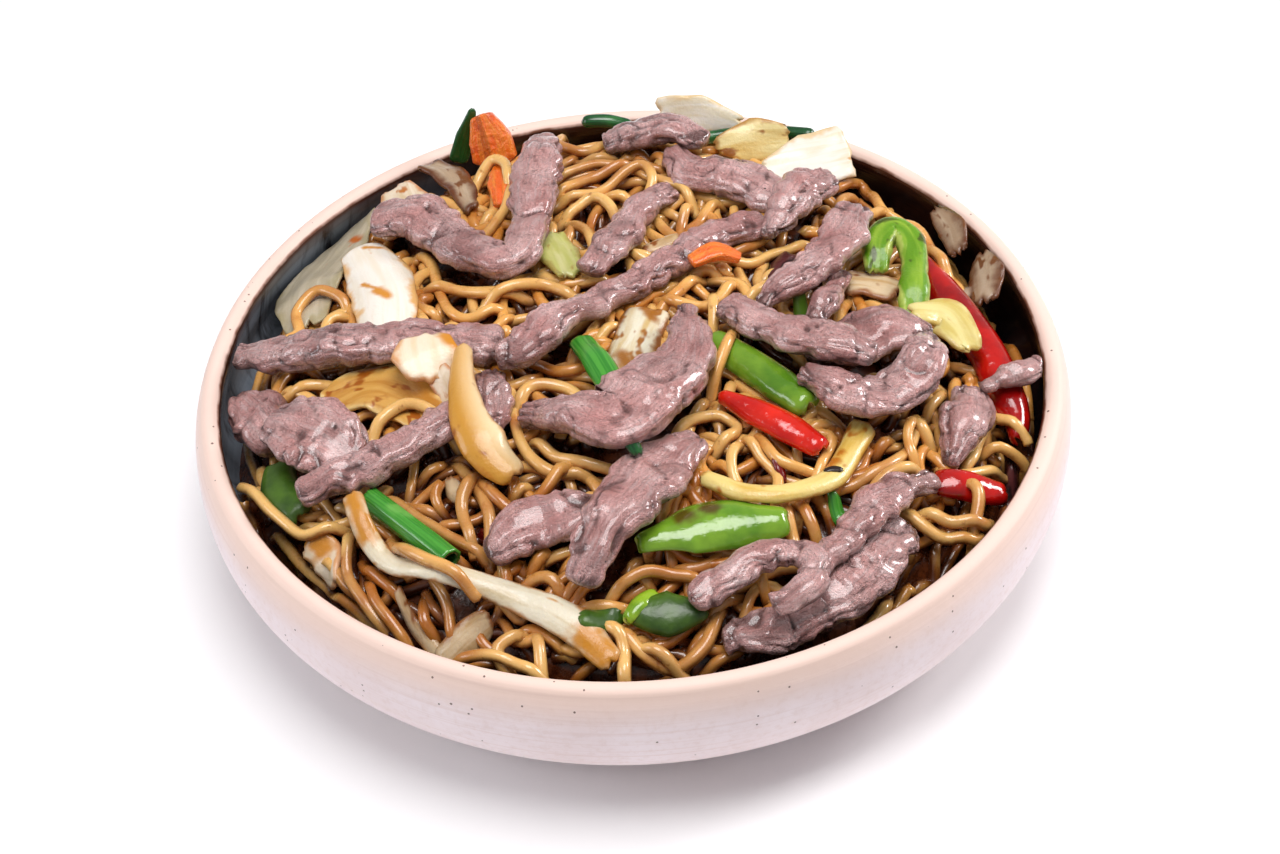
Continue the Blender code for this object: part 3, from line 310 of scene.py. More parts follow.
# From the lowest to the topmost, as in the part
TOPPINGS = [
    Topping("dark_leaf", [(-76, 80), (-84, 62), (-91, 44), (-90, 26)],
            (12, 24, 24, 12), thick=1.5, wave=1.5),
    Topping("dark_green", [(-95, -27), (-94, -38), (-88, -47)], (8, 12, 9), thick=3.0, arch=1.5),
    Topping("dark_green", [(-4, -90), (5, -92), (15, -91)], (6, 12, 5), thick=3.0, arch=1.5),
    Topping("glassy", [(61, 20), (68, 19), (75, 16)], (9, 11, 9), thick=2.0, wave=2.0),
    Topping("red", [(77, -52), (86, -53), (95, -53)], (8, 9, 6), thick=3.0, arch=1.5),
    Topping("pale_green", [(-21, 45), (-18, 36), (-15, 26)], (8, 11, 7), thick=2.0, wave=2.0),
    Topping("cream", [(-66, 82), (-63, 71), (-60, 58)], (9, 17, 17), thick=2.0, wave=1.5),
    Topping("brown_onion", [(-57, 90), (-51, 84), (-46, 74), (-43, 62)],
            (8, 9, 8, 4), thick=2.0, wave=2.0),
    Topping("white_rib", [(-75, 52), (-70, 38), (-67, 24), (-66, 9)],
            (12, 18, 18, 14), thick=2.6, arch=2.0),
    Topping("yellow", [(-83, -14), (-71, -10), (-61, -15), (-52, -27)],
            (9, 15, 17, 11), thick=1.8, wave=1.5),
    Topping("browned", [(6, 9), (2, -3), (-3, -18)], (12, 13, 7), thick=2.4, arch=1.5),
    Topping("green", [(-1, -74), (11, -70), (24, -68.5), (37, -68.5)],
            (5, 17, 16, 10), thick=3.0, arch=4.0),
    Topping("green", [(22, -5), (30, -13), (38, -22), (46, -33)], (8, 10, 11, 8), thick=3.0, arch=3.0),
    Topping("carrot", [(-34, 82), (-34, 73), (-34, 64)], (6, 9, 5), thick=4.0),
    Topping("red", [(82, 35), (87, 24), (92, 12), (97, 0), (100, -12), (102, -24), (101, -33)],
            (7, 11, 12, 12, 11, 9, 4), thick=3.0, arch=3.0),
    Topping("onion_green", [(-13, -2), (-8, -16), (-3, -31)], (6, 7, 7), thick=3.0, arch=1.0),
    Topping("onion_green", [(-69, -49), (-59, -60), (-48, -73)],
            (6.4, 6.4, 7), hollow=4.6, round_stalk=True),
    Topping("pale_strip", [(-73, -51), (-70, -61), (-63, -71), (-52, -78),
                           (-37, -82), (-25, -88), (-16, -95), (-9, -104)],
            (5, 5, 5, 5, 6, 8, 9, 6), thick=2.2, arch=1.0),
    Topping("yellow_strip", [(60, -36), (55, -46), (50, -55), (42, -61), (34, -63), (25, -61), (17, -55)],
            (7, 6, 6, 5, 5, 5, 4), thick=2.6, arch=1.0),
    Topping("bright_red", [(23, -27), (32, -33), (41, -40), (48, -47)],
            (2, 8, 9, 6), thick=3.0, arch=2.0),
    Topping("green_yellow", [(70, 23), (72, 34), (76.5, 39.5), (81, 33), (80, 18), (78, 4)],
            (6, 8, 8, 7, 8, 7), thick=3.2, wave=1.5),
    Topping("yellow_crumpled", [(77, 0), (86, 1), (91, -10)], (7, 12, 7), thick=1.8, wave=2.5),
    Topping("beef", [(-107, -1), (-102, -8), (-96, -20)], (11, 16, 11), thick=8.0),
    Topping("beef", [(-95, -21), (-84, -28), (-74, -35)], (15, 24, 17), thick=5.5),
    Topping("beef", [(-45, -27), (-54, -35), (-65, -41), (-76, -44), (-86, -48)],
            (8, 10, 11, 10, 7), thick=7.0),
    Topping("beef", [(-107, 14), (-97, 9), (-82, 3), (-67, 1), (-52, 1), (-42, -1), (-35, -2.2)],
            (6, 10, 12, 13, 13, 13, 15), thick=8.0),
    Topping("white_slab", [(-54, -3), (-54, -9), (-53, -16)], (12, 18, 10), thick=2.4, wave=1.0),
    Topping("beef", [(-37, -13), (-36, -22), (-36, -33)], (8, 10, 6), thick=6.0),
    Topping("amber_strip", [(-44, -10), (-44, -23), (-42, -35), (-38, -44), (-31, -51)],
            (4, 6, 9, 12, 8), thick=2.2, arch=2.0),
    Topping("beef", [(-70, 58), (-58, 56), (-51, 48), (-43, 38), (-32, 30),
                     (-26, 39), (-25, 52), (-24, 66), (-22, 78), (-21, 90)],
            (12, 15, 14, 13, 12, 12, 13, 14, 12, 7), thick=7.5),
    Topping("beef", [(-37, -73), (-28, -67), (-18, -65), (-8, -62)], (9, 15, 14, 9), thick=6.5),
    Topping("beef", [(15, -43), (9, -50), (3, -58), (-3, -67), (-9, -76), (-15, -87)],
            (8, 16, 18, 16, 12, 8), thick=6.5),
    Topping("beef", [(-27, -33), (-16, -38), (-5, -42), (6, -32), (14, -22), (16, -10), (16, 0)],
            (5, 12, 24, 20, 17, 12, 6), thick=8.0),
    Topping("beef", [(14, 62), (8, 56), (3, 46), (-3, 34), (-9, 24)], (8, 8, 10, 11, 8), thick=7.0),
    Topping("beef", [(40, 46), (28, 39), (15, 29), (5, 20), (-5, 13),
                     (-14, 6), (-22, -2), (-28, -10), (-34, -11)],
            (9, 10, 10, 10, 9, 9, 9, 12, 8), thick=7.0),
    Topping("carrot", [(19, 24), (25, 27), (32, 26)], (4, 6, 3), thick=3.0),
    Topping("beef", [(49, -7), (60, -9), (70, -8), (79, -11)], (11, 18, 18, 9), thick=6.0),
    Topping("beef", [(46, -26), (56, -33), (67, -32), (76, -24), (79, -15)],
            (7, 13, 15, 13, 8), thick=6.5),
    Topping("beef", [(28, 5), (35, -4), (43, -12), (52, -19), (63, -23)], (10, 13, 13, 12, 8), thick=6.5),
    Topping("beef", [(91, -20), (89, -29), (85, -38), (82, -45)], (10, 13, 12, 5), thick=6.5),
    Topping("beef", [(94, -20), (100, -18), (105, -16), (110, -12)], (5, 7, 7, 5), thick=5.0),
    Topping("beef", [(66, -67), (59, -76), (52, -86), (42, -92), (31, -97), (20, -98)],
            (12, 15, 14, 13, 12, 8), thick=7.0),
    Topping("beef", [(75, -55), (66, -61), (58, -68), (50, -77), (43, -84)], (7, 9, 10, 9, 7), thick=6.5),
    Topping("beef", [(12, -92), (20, -88), (29, -83), (37, -82), (42, -87), (40, -94), (32, -98)],
            (7, 9, 8, 7, 7, 7, 5), thick=6.0),
    Topping("beef", [(59, 20), (56, 9), (51, -2)], (7, 8, 6), thick=5.5),
    Topping("beef", [(66, 43), (62, 32), (55, 21), (47, 13), (37, 7)], (10, 13, 12, 9, 5), thick=6.5),
    Topping("beef", [(17, 81), (22, 70), (31, 67), (40, 61), (50, 52)], (8, 14, 16, 16, 11), thick=7.0),
    Topping("beef", [(61, 60), (53, 55), (47, 46), (41, 37)], (9, 14, 10, 6), thick=6.5),
    Topping("beef", [(-2, 91), (8, 91), (17, 89), (25, 83)], (8, 15, 15, 9), thick=7.0),
    Topping("folded", [(30, 88, 51), (40, 88.5, 52), (51, 88, 52)],
            (5, 14, 8), thick=1.8, wave=1.0, side=(0, 0.7, 0.7)),
    Topping("white_leaf", [(43, 76, 50), (56, 79, 50), (69, 83, 49.5)],
            (5, 18, 17), thick=2.0, wave=1.0, side=(-0.1, 0.92, 0.38)),
    Topping("white_leaf", [(14, 107, 49), (26, 105, 50.5), (38, 102, 49)],
            (13, 12, 4), thick=1.8, wave=0.8, side=(0, 0.5, 0.86)),
    Topping("onion_dark", [(23, 93.5, 48), (36, 95.5, 47.5), (48, 95, 47.5), (60, 91, 49)],
            (4, 4.4, 4.4, 4), round_stalk=True),
    Topping("onion_dark", [(-10, 106, 48), (-3, 105.5, 48), (5, 105, 46)],
            (4, 4.6, 4.2), round_stalk=True),
    Topping("onion_dark", [(-48, 96, 45), (-45, 99, 52), (-42, 102, 60)],
            (6, 6, 2), thick=1.2, side=(0.9, 0.3, 0.0)),
    Topping("carrot", [(-37, 91, 48), (-38, 94, 54), (-40, 98, 60)],
            (14, 13, 7), thick=4.5, side=(0.98, -0.15, 0.1)),
    Topping("brown_onion", [(93, 62, 43), (96, 52, 43), (97, 42, 42)],
            (6, 9, 6), thick=1.8, wave=1.0, side=(0.75, 0.35, 0.55)),
    Topping("brown_onion", [(104, 40, 42), (103, 30, 42), (101, 20, 41)],
            (8, 12, 8), thick=1.8, wave=1.0, side=(0.8, 0.2, 0.55)),
]

# Small bits that lie on the noodles and have no solid of their own
SMALL_BITS = [
    Topping("yellow_green", [(-5, -93), (-1, -88), (3, -85)], (4, 6, 4), thick=1.8, arch=2.2),
    Topping("dark_green", [(-100, -44), (-97, -50), (-92, -55)], (4, 6, 4), thick=1.8, arch=1.0),
    Topping("purple_onion", [(42, 24), (45, 29), (48, 35)], (4, 8, 5), thick=2.2, arch=1.6),
    Topping("cream", [(-51, -14), (-48, -19), (-46, -26)], (7, 10, 6), thick=1.6, wave=0.8),
    Topping("white_slab", [(-86, -54), (-81, -58), (-79, -67)], (9, 9, 4), thick=2.2, wave=0.8),
    Topping("glassy", [(-62, -76), (-57, -84), (-51, -92)], (4, 5, 4), thick=1.6, arch=1.0),
    Topping("glassy", [(-52, -93), (-45, -90), (-38, -87)], (8, 11, 7), thick=1.6, wave=2.4),
    Topping("red", [(71, 10), (73, 4), (74, -2)], (3, 4, 3), thick=2.2, arch=0.8),
    Topping("onion_green", [(50, -58), (51, -62), (53, -65)], (4, 4.5, 4), thick=1.4, arch=1.0),
    Topping("onion_dark", [(-2, -47), (-1, -50), (1, -53)], (3, 4, 3), thick=1.4, arch=0.8),
    Topping("cream", [(66, 57), (66, 53), (65, 49)], (4, 7, 6), thick=1.8, wave=0.6),
    Topping("cream", [(-82, -72), (-80, -76), (-76, -80)], (4, 6, 3), thick=1.8, wave=0.6),
    Topping("dark_red", [(-96, 20), (-92, 18), (-88, 17)], (3, 4, 3), thick=1.2, arch=0.5),
    Topping("dark_red", [(-92, -8), (-88, -10), (-85, -12)], (3, 4, 3), thick=1.2, arch=0.5),
    Topping("dark_red", [(-65, -84), (-61, -88), (-57, -91)], (3, 4, 3), thick=1.2, arch=0.5),
    Topping("dark_red", [(35, -48), (37, -51), (38, -54)], (2, 3, 2), thick=1.2, arch=0.5),
    Topping("dark_red", [(100, 15), (100, 11), (99, 7)], (3, 4, 3), thick=1.2, arch=0.5),
    Topping("dark_red", [(-41, -61), (-39, -65), (-38, -69)], (3, 5, 3), thick=1.2, arch=0.5),
    Topping("dark_red", [(76, 50), (79, 52), (82, 51)], (3, 4, 3), thick=1.6, arch=0.8),
    Topping("glassy", [(6, 38), (11, 39.5), (17, 41)], (4, 6, 4), thick=1.6, arch=0.8),
    Topping("dark_green", [(47, 11), (48, 6), (47, 1)], (4, 5, 3), thick=1.8, arch=1.0),
    Topping("glassy", [(-48, -43), (-47, -48), (-45, -53)], (3, 5, 4), thick=1.6, arch=0.8),
    Topping("dark_green", [(-16, -92), (-11, -92), (-6, -90)], (5, 8, 5), thick=1.8, arch=1.0),
    Topping("purple_onion", [(97, -45), (99, -41), (100, -37)], (4, 5, 3), thick=1.6, arch=1.0),
    Topping("brown_onion", [(94, 39), (95, 31), (95, 23)], (6, 9, 6), thick=1.8, wave=1.6),
    Topping("brown_onion", [(103, 15), (103, 8), (102, 2)], (4, 7, 3), thick=1.6, wave=1.6),
    Topping("burnt", [(47.6, -54.6), (50, -53.8), (52.6, -54.2)], (1.4, 2.4, 1.6), thick=0.8),
]

# Noodles seen in the photo, each with the toppings that it passes over
SEEN_NOODLES = [
    (("cabbage_01",), [(-78, 28), (-80, 32), (-87, 37), (-93, 31), (-92, 23), (-96, 20)]),
    ((), [(-72, 27), (-77, 25), (-83, 23), (-84, 17), (-83, 10)]),
    ((), [(-58, 48), (-54, 41), (-52, 29), (-48, 18), (-42, 15), (-36, 17)]),
    ((), [(-59, 33), (-59, 27), (-55, 12), (-54, 6)]),
    ((), [(-53, 30), (-49, 28), (-37, 23), (-30, 22)]),
    ((), [(-36, 20), (-31, 22), (-22, 24), (-15, 20)]),
    (("carrot_01",), [(-31, 68), (-33, 60), (-37, 52), (-42, 46)]),
    (("carrot_01", "carrot_03"), [(-43, 60), (-43, 70), (-42, 78), (-37, 84), (-33, 80), (-32, 73)]),
    ((), [(-16, 106), (-17, 97), (-10, 91), (-3, 95)]),
    ((), [(-18, 76), (-5, 81), (2, 79), (8, 72), (17, 65), (20, 60)]),
    ((), [(-17, 68), (-10, 73), (2, 78)]),
    ((), [(-15, 64), (-7, 66), (6, 74), (10, 68), (8, 62)]),
    ((), [(-1, 64), (6, 61), (14, 60)]),
    ((), [(22, 62), (20, 57), (17, 47), (18, 42)]),
    ((), [(28, 58), (26, 56), (20, 46), (19, 42)]),
    ((), [(58, 66), (66, 73), (72, 80), (75, 73), (77, 63), (83, 57), (84, 51), (82, 46)]),
    (("red_pepper_02", "green_pepper_05"), [(70, 42), (74, 47), (79, 50), (85, 47), (88, 39), (90, 31)]),
    ((), [(68, 50), (70, 54), (76, 61)]),
    ((), [(30, 33), (36, 31), (44, 36), (52, 40)]),
    ((), [(25, 25), (30, 22), (33, 18), (35, 9)]),
    ((), [(19, 22), (12, 14), (8, 7), (10, 1), (15, -1), (19, 2)]),
    ((), [(29, 19), (24, 12), (15, 10), (12, 12)]),
    ((), [(24, 12), (23, 1), (20, -3)]),
    ((), [(34, 12), (40, 18), (48, 17)]),
    ((), [(65, 13), (64, 5), (60, -1)]),
    ((), [(66, 13), (71, 9), (77, 10), (82, 17)]),
    (("green_pepper_04",), [(28, -4), (27, -9), (25, -14), (22, -21)]),
    ((), [(8, -40), (15, -33), (23, -31), (27, -36), (21, -42), (17, -44)]),
    ((), [(27, -35), (32, -46), (36, -52), (35, -60)]),
    ((), [(32, -37), (36, -48), (44, -51), (55, -51), (66, -50)]),
    ((), [(45, -38), (51, -40), (49, -46), (45, -55), (42, -60)]),
    ((), [(76, -30), (72, -40), (67, -48), (60, -53), (51, -56)]),
    (("red_pepper_01",), [(74, -34), (80, -43), (84, -51), (87, -58), (85, -66)]),
    ((), [(73, -34), (71, -40), (72, -47), (76, -53)]),
    ((), [(82, -47), (88, -45), (94, -41)]),
    ((), [(88, -37), (93, -36), (99, -36), (105, -38)]),
    ((), [(68, -62), (75, -68), (84, -69)]),
    ((), [(73, -63), (80, -66), (88, -66)]),
    ((), [(37, -63), (38, -69), (39, -75)]),
    ((), [(41, -62), (44, -70)]),
    ((), [(-4, -76), (3, -84), (9, -91)]),
    ((), [(-6, -84), (2, -81), (13, -83)]),
    ((), [(-6, -95), (0, -102), (8, -104), (14, -100), (18, -91)]),
    ((), [(55, -63), (63, -55), (70, -51)]),
    ((), [(42, -38), (48, -36), (55, -33)]),
    (("red_pepper_02",), [(95, -24), (98, -27), (102, -31)]),
    (("cabbage_05",), [(-71, -42), (-70, -33), (-67, -25), (-60, -21), (-53, -24), (-48, -30)]),
    (("green_pepper_01",), [(-106, -32), (-101, -37), (-95, -46), (-87, -54), (-79, -53)]),
    ((), [(-64, -48), (-57, -55), (-50, -62), (-41, -69)]),
    (("cabbage_07",), [(-64, -57), (-63, -64), (-59, -71), (-54, -76), (-49, -79), (-45, -82)]),
    ((), [(-46, -40), (-41, -49), (-38, -59), (-38, -68)]),
    ((), [(-42, -46), (-45, -55), (-43, -65)]),
    ((), [(-75, -57), (-75, -67), (-70, -77), (-64, -84), (-55, -91)]),
    ((), [(-69, -72), (-67, -78), (-60, -88)]),
    ((), [(-32, -17), (-31, -29), (-29, -40), (-23, -48), (-14, -50)]),
    ((), [(-28, -24), (-28, -33), (-23, -41), (-15, -47), (-5, -50)]),
    ((), [(-30, -24), (-27, -18), (-21, -17), (-15, -20), (-11, -28)]),
    ((), [(-19, -50), (-24, -56), (-31, -59), (-36, -55), (-39, -50)]),
    ((), [(-32, -86), (-27, -94), (-26, -106)]),
    ((), [(-31, -92), (-37, -96), (-33, -103)]),
    ((), [(-14, -95), (-7, -93), (-1, -100), (5, -104)]),
    ((), [(-6, -108), (-6, -98), (-9, -94)]),
    ((), [(-46, -97), (-37, -99), (-28, -104)]),
    ((), [(-93, -2), (-86, -8), (-80, -15)]),
    ((), [(-90, -4), (-82, -4), (-73, -10)]),
    ((), [(-100, -30), (-94, -33), (-88, -36)]),
    ((), [(-14, 53), (-10, 47), (-8, 40)]),
    ((), [(-15, 57), (-8, 62), (-3, 58), (-1, 52)]),
]


# Small tools

NOISE_SIZE = 8192
NOISE_TABLE = np.random.RandomState(11).uniform(-1.0, 1.0, NOISE_SIZE)
HASH_FACTORS = np.array([73856093, 19349663, 83492791])
SEED_FACTOR = 7919
TILTS = [np.array(Euler(angles).to_matrix()) for angles in ((0.7, 0.5, 0.3), (-0.4, 1.1, 0.9))]


def smooth_step(t):
    t = np.clip(t, 0.0, 1.0)
    return t * t * (3.0 - 2.0 * t)


def noise(points, seed=0):
    """Smooth noise from -1 to 1 at rows of x, y, z, with one unit between its bumps."""
    points = np.asarray(points, float)
    cell = np.floor(points).astype(np.int64)
    share = smooth_step(points - cell)
    total = np.zeros(len(points))
    for corner in itertools.product((0, 1), repeat=3):
        mixed = np.bitwise_xor.reduce((cell + corner) * HASH_FACTORS, axis=1) + SEED_FACTOR * seed
        weight = np.where(corner, share, 1.0 - share).prod(axis=1)
        total += NOISE_TABLE[mixed % NOISE_SIZE] * weight
    return total


def clouds(points, seed=0):
    """Noise of two grids that are tilted apart, so that neither of them shows."""
    return 0.7 * (noise(points @ TILTS[0], seed) + noise(points @ TILTS[1], seed + 400))


def curve_through(points, count, dense_steps=14):
    """Evenly spaced points on a smooth curve through the given ones."""
    points = np.array(points, float)
    guide = np.vstack([2 * points[0] - points[1], points, 2 * points[-1] - points[-2]])
    dense = []
    for a, b, c, d in zip(guide, guide[1:], guide[2:], guide[3:]):
        for t in np.arange(dense_steps) / dense_steps:
            square, cube = 2 * a - 5 * b + 4 * c - d, 3 * b - a - 3 * c + d
            dense.append(0.5 * (2 * b + (c - a) * t + square * t**2 + cube * t**3))
    dense.append(points[-1])
    dense = np.array(dense)
    along = distances(dense)
    even = np.linspace(0.0, along[-1], count)
    return np.stack([np.interp(even, along, column) for column in dense.T], axis=1), along[-1]


def spaced_curve(points, step):
    """Points on a smooth curve, about one step apart."""
    length = curve_through(points, 3)[1]
    return curve_through(points, max(4, round(length / step) + 1))[0]


def table_at(values, count):
    """The named values of a piece, such as its widths, read at evenly spaced places along it."""
    return np.interp(np.linspace(0, 1, count), np.linspace(0, 1, len(values)), values)


def distances(path):
    """How far along a path each of its points lies."""
    return np.concatenate([[0.0], np.cumsum(np.linalg.norm(np.diff(path, axis=0), axis=1))])


def directions(path):
    along = np.gradient(path, axis=0)
    return along / np.maximum(np.linalg.norm(along, axis=1), 1e-9)[:, None]


def unit_rows(rows):
    return rows / np.maximum(np.linalg.norm(rows, axis=1), 1e-9)[:, None]


def softened(values, sigma):
    """Values along a line, averaged over a bell of that many places to each side."""
    reach = max(1, int(3 * sigma))
    bell = np.exp(-0.5 * (np.arange(-reach, reach + 1) / sigma) ** 2)
    return np.convolve(np.pad(values, reach, mode="edge"), bell / bell.sum(), mode="valid")


def heap_height(x, y):
    """The top of the part's core of noodles."""
    r = np.hypot(x, y)
    dome = HEAP_EDGE_HEIGHT + HEAP_RISE * (1.0 - (r / HEAP_RADIUS) ** 3)
    back = BACK_RISE * smooth_step((y - BACK_START) / BACK_LENGTH)
    drop = EDGE_DROP * smooth_step((r - EDGE_DROP_START) / EDGE_DROP_LENGTH)
    cross = CROSS_WAVE_HEIGHT * np.sin(x / CROSS_WAVE_X + 1.0) * np.sin(y / CROSS_WAVE_Y + 2.0)
    slant = SLANT_WAVE_HEIGHT * np.sin((x + y) / SLANT_WAVE_LENGTH)
    return dome + back - drop + cross + slant


# Meshes

def add_mesh(name, points, faces, material, attributes=()):
    """A smooth mesh piece that rides on the root body. Faces are arrays of three or four corners."""
    faces = [np.asarray(part, np.int32) for part in faces if len(part)]
    mesh = bpy.data.meshes.new(name)
    points = np.asarray(points, np.float32).reshape(-1, 3)
    mesh.vertices.add(len(points))
    mesh.vertices.foreach_set("co", (points * MILLIMETRE).ravel())
    sizes = np.concatenate([np.full(len(part), part.shape[1]) for part in faces])
    mesh.loops.add(int(sizes.sum()))
    mesh.loops.foreach_set("vertex_index", np.concatenate([part.ravel() for part in faces]))
    mesh.polygons.add(len(sizes))
    mesh.polygons.foreach_set("loop_start", (np.cumsum(sizes) - sizes).astype(np.int32))
    mesh.update(calc_edges=True)
    mesh.validate()
    for key, values in dict(attributes).items():
        values = np.asarray(values, np.float32)
        if values.ndim == 2:
            made = mesh.attributes.new(key, "FLOAT_VECTOR", "POINT")
            made.data.foreach_set("vector", values.ravel())
        else:
            made = mesh.attributes.new(key, "FLOAT", "POINT")
            made.data.foreach_set("value", values)
    mesh.materials.append(material)
    mesh.shade_smooth()
    piece = bpy.data.objects.new(name, mesh)
    bpy.context.scene.collection.objects.link(piece)
    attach(piece, "root")
    return piece


def tube_faces(count, sides, first=0):
    """Faces round rings of points, and fans on the end points that follow them."""
    ring = np.arange(sides)
    after = (ring + 1) % sides
    base = first + np.arange(count - 1)[:, None] * sides
    quads = np.stack([base + ring, base + after, base + sides + after, base + sides + ring], axis=2)
    low, high = first + count * sides, first + count * sides + 1
    last = first + (count - 1) * sides
    fans = np.concatenate([np.stack([np.full(sides, low), after + first, ring + first], axis=1),
                           np.stack([np.full(sides, high), last + ring, last + after], axis=1)])
    return quads.reshape(-1, 4), fans


# Materials

def paint(red, green, blue):
    """A colour as it looks on a screen, from 0 to 255, as the shader's linear colour."""
    share = np.array([red, green, blue]) / 255.0
    linear = np.where(share <= 0.04045, share / 12.92, ((share + 0.055) / 1.055) ** 2.4)
    return (*[float(v) for v in linear], 1.0)


class Finish:
    """A material with a principled shader, and short names for the nodes that feed it."""

    def __init__(self, name):
        self.material = bpy.data.materials.new(name)
        self.material.use_nodes = True
        self.tree = self.material.node_tree
        self.shader = self.tree.nodes["Principled BSDF"]

    def put(self, socket, value):
        """Feeds a socket from another one, or with a plain value."""
        if isinstance(value, bpy.types.NodeSocket):
            self.tree.links.new(value, socket)
        elif value is not None:
            socket.default_value = value

    def set(self, **values):
        """Values or sockets for the shader's inputs, with _ for the blanks in their names."""
        for name, value in values.items():
            self.put(self.shader.inputs[name.replace("_", " ")], value)

    def node(self, kind, values=(), **settings):
        """A new node with its settings and the values or sockets of its inputs."""
        node = self.tree.nodes.new("ShaderNode" + kind)
        for key, setting in settings.items():
            setattr(node, key, setting)
        for key, value in dict(values).items():
            self.put(node.inputs[key], value)
        return node

    def attribute(self, name, output="Fac"):
        return self.node("Attribute", attribute_name=name).outputs[output]

    def place(self):
        """The point on the object, in millimetres."""
        return self.stretch(self.node("TexCoord").outputs["Object"], (1 / MILLIMETRE,) * 3)

    def stretch(self, vector, factors):
        return self.node("VectorMath", {0: vector, 1: factors}, operation="MULTIPLY").outputs[0]

    def part_of(self, vector, axis):
        return self.node("SeparateXYZ", {0: vector}).outputs[axis]

    def noise(self, vector, scale, detail=2.0, roughness=0.5, distortion=0.0):
        return self.node("TexNoise", {"Vector": vector, "Scale": scale, "Detail": detail,
                                      "Roughness": roughness, "Distortion": distortion}).outputs["Fac"]

    def streaks(self, vector, factors, detail=3.0, roughness=0.5, distortion=0.0):
        """Noise that is drawn out along the axes with the small factors."""
        return self.noise(self.stretch(vector, factors), 1.0, detail, roughness, distortion)

    def specks(self, place, scale, size, chance):
        """One on round specks at some of many scattered points, and nought elsewhere."""
        cells = self.node("TexVoronoi", {"Vector": place, "Scale": scale})
        near = self.math("LESS_THAN", cells.outputs["Distance"], size)
        return self.times(near, self.math("LESS_THAN", cells.outputs["Color"], chance))

    def rise(self, value, low, high, to_low=0.0, to_high=1.0):
        """Goes smoothly from one value to another while the given one goes from low to high."""
        return self.node("MapRange", {"Value": value, "From Min": low, "From Max": high, "To Min": to_low,
                                      "To Max": to_high}, interpolation_type="SMOOTHSTEP").outputs["Result"]

    def math(self, operation, first, second):
        return self.node("Math", {0: first, 1: second}, operation=operation).outputs[0]

    def times(self, first, second):
        return self.math("MULTIPLY", first, second)

    def plus(self, first, second):
        return self.math("ADD", first, second)

    def swing(self, noise, size):
        """Noise as a value to both sides of nought."""
        return self.times(self.math("SUBTRACT", noise, 0.5), size)

    def mix(self, share, first, second):
        """A share of the second colour over the first, each a socket or a screen colour."""
        node = self.node("Mix", {0: share}, data_type="RGBA")
        colour_inputs = [s for s in node.inputs if s.type == "RGBA"]
        for socket, colour in zip(colour_inputs, (first, second)):
            self.put(socket, paint(*colour) if isinstance(colour, tuple) else colour)
        return [s for s in node.outputs if s.type == "RGBA"][0]

    def relief(self, *layers):
        """Bumps on bumps, each a height, its strength and its depth in millimetres."""
        normal = None
        for height, strength, depth in layers:
            bump = self.node("Bump", {"Height": height, "Strength": strength,
                                      "Distance": depth * MILLIMETRE, "Normal": normal})
            normal = bump.outputs["Normal"]
        self.set(Normal=normal)

    def lit_within(self, weight, reach, depth=2.0):
        """Light that spreads under the surface, reaching a share of some millimetres in each colour."""
        self.set(Subsurface_Weight=weight, Subsurface_Radius=reach, Subsurface_Scale=depth * MILLIMETRE)


# Finishes. Noise has its middle at a half and is read at places in millimetres. A rise makes it the
# share of the next colour, which is laid over those before it

def clay_and_glaze():
    """Pale clay with dark specks and throwing lines outside, streaked dark glaze inside, with blue-grey
    streaks on the left of the glaze that are partly its own and partly a painted sheen of reflected light.
    """
    made = Finish("clay_and_glaze")
    place = made.place()
    cloud = made.noise(place, 0.035, 4.0, 0.6)
    fine = made.noise(place, 0.5, 4.0, 0.6)
    clay = made.mix(made.rise(cloud, 0.35, 0.65), (248, 233, 236), (243, 225, 226))
    clay = made.mix(made.rise(fine, 0.45, 0.75, 0.0, 0.3), clay, (224, 196, 188))
    clay = made.mix(made.rise(made.attribute("height"), 33.0, 45.5, 0.0, 0.9), clay, (238, 208, 192))
    lines = made.streaks(place, (0.012, 0.012, 1.1))
    clay = made.mix(made.rise(lines, 0.52, 0.75, 0.0, 0.3), clay, (222, 192, 182))
    for scale, size, chance in ((0.16, 0.06, 0.5), (0.33, 0.1, 0.36), (0.07, 0.035, 0.5)):
        clay = made.mix(made.times(made.specks(place, scale, size, chance), 0.85), clay, (84, 54, 42))
    wobble = made.noise(place, 0.12, 3.0)
    edge = made.plus(made.attribute("glazed"), made.swing(wobble, 0.22))
    scorch = made.times(made.rise(edge, 0.3, 0.48), made.rise(wobble, 0.3, 0.62, 0.5, 1.0))
    clay = made.mix(scorch, clay, (124, 74, 50))
    streaks = made.streaks(place, (0.09, 0.09, 0.02), 4.0, 0.6, 0.6)
    # Blue-grey streaks on the left of the glaze only: partly the glaze's own streaks, partly a painted
    # reflection of the studio's light.
    painted_sheen_and_streaks_on_left = made.rise(made.part_of(place, 0), -115.0, -20.0, 1.0, 0.0)
    glaze = made.mix(made.rise(streaks, 0.4, 0.65), (22, 18, 20), (42, 24, 22))
    glaze = made.mix(made.times(painted_sheen_and_streaks_on_left, made.rise(streaks, 0.3, 0.56)), glaze, (140, 150, 162))
    glaze = made.mix(made.rise(edge, 0.6, 1.3), (62, 32, 22), glaze)
    made.set(Base_Color=made.mix(made.rise(edge, 0.46, 0.6), clay, glaze))
    made.set(Roughness=made.rise(edge, 0.46, 0.62, 0.55, 0.22))
    made.relief((lines, 0.5, 0.25), (fine, 0.25, 0.12))
    return made.material


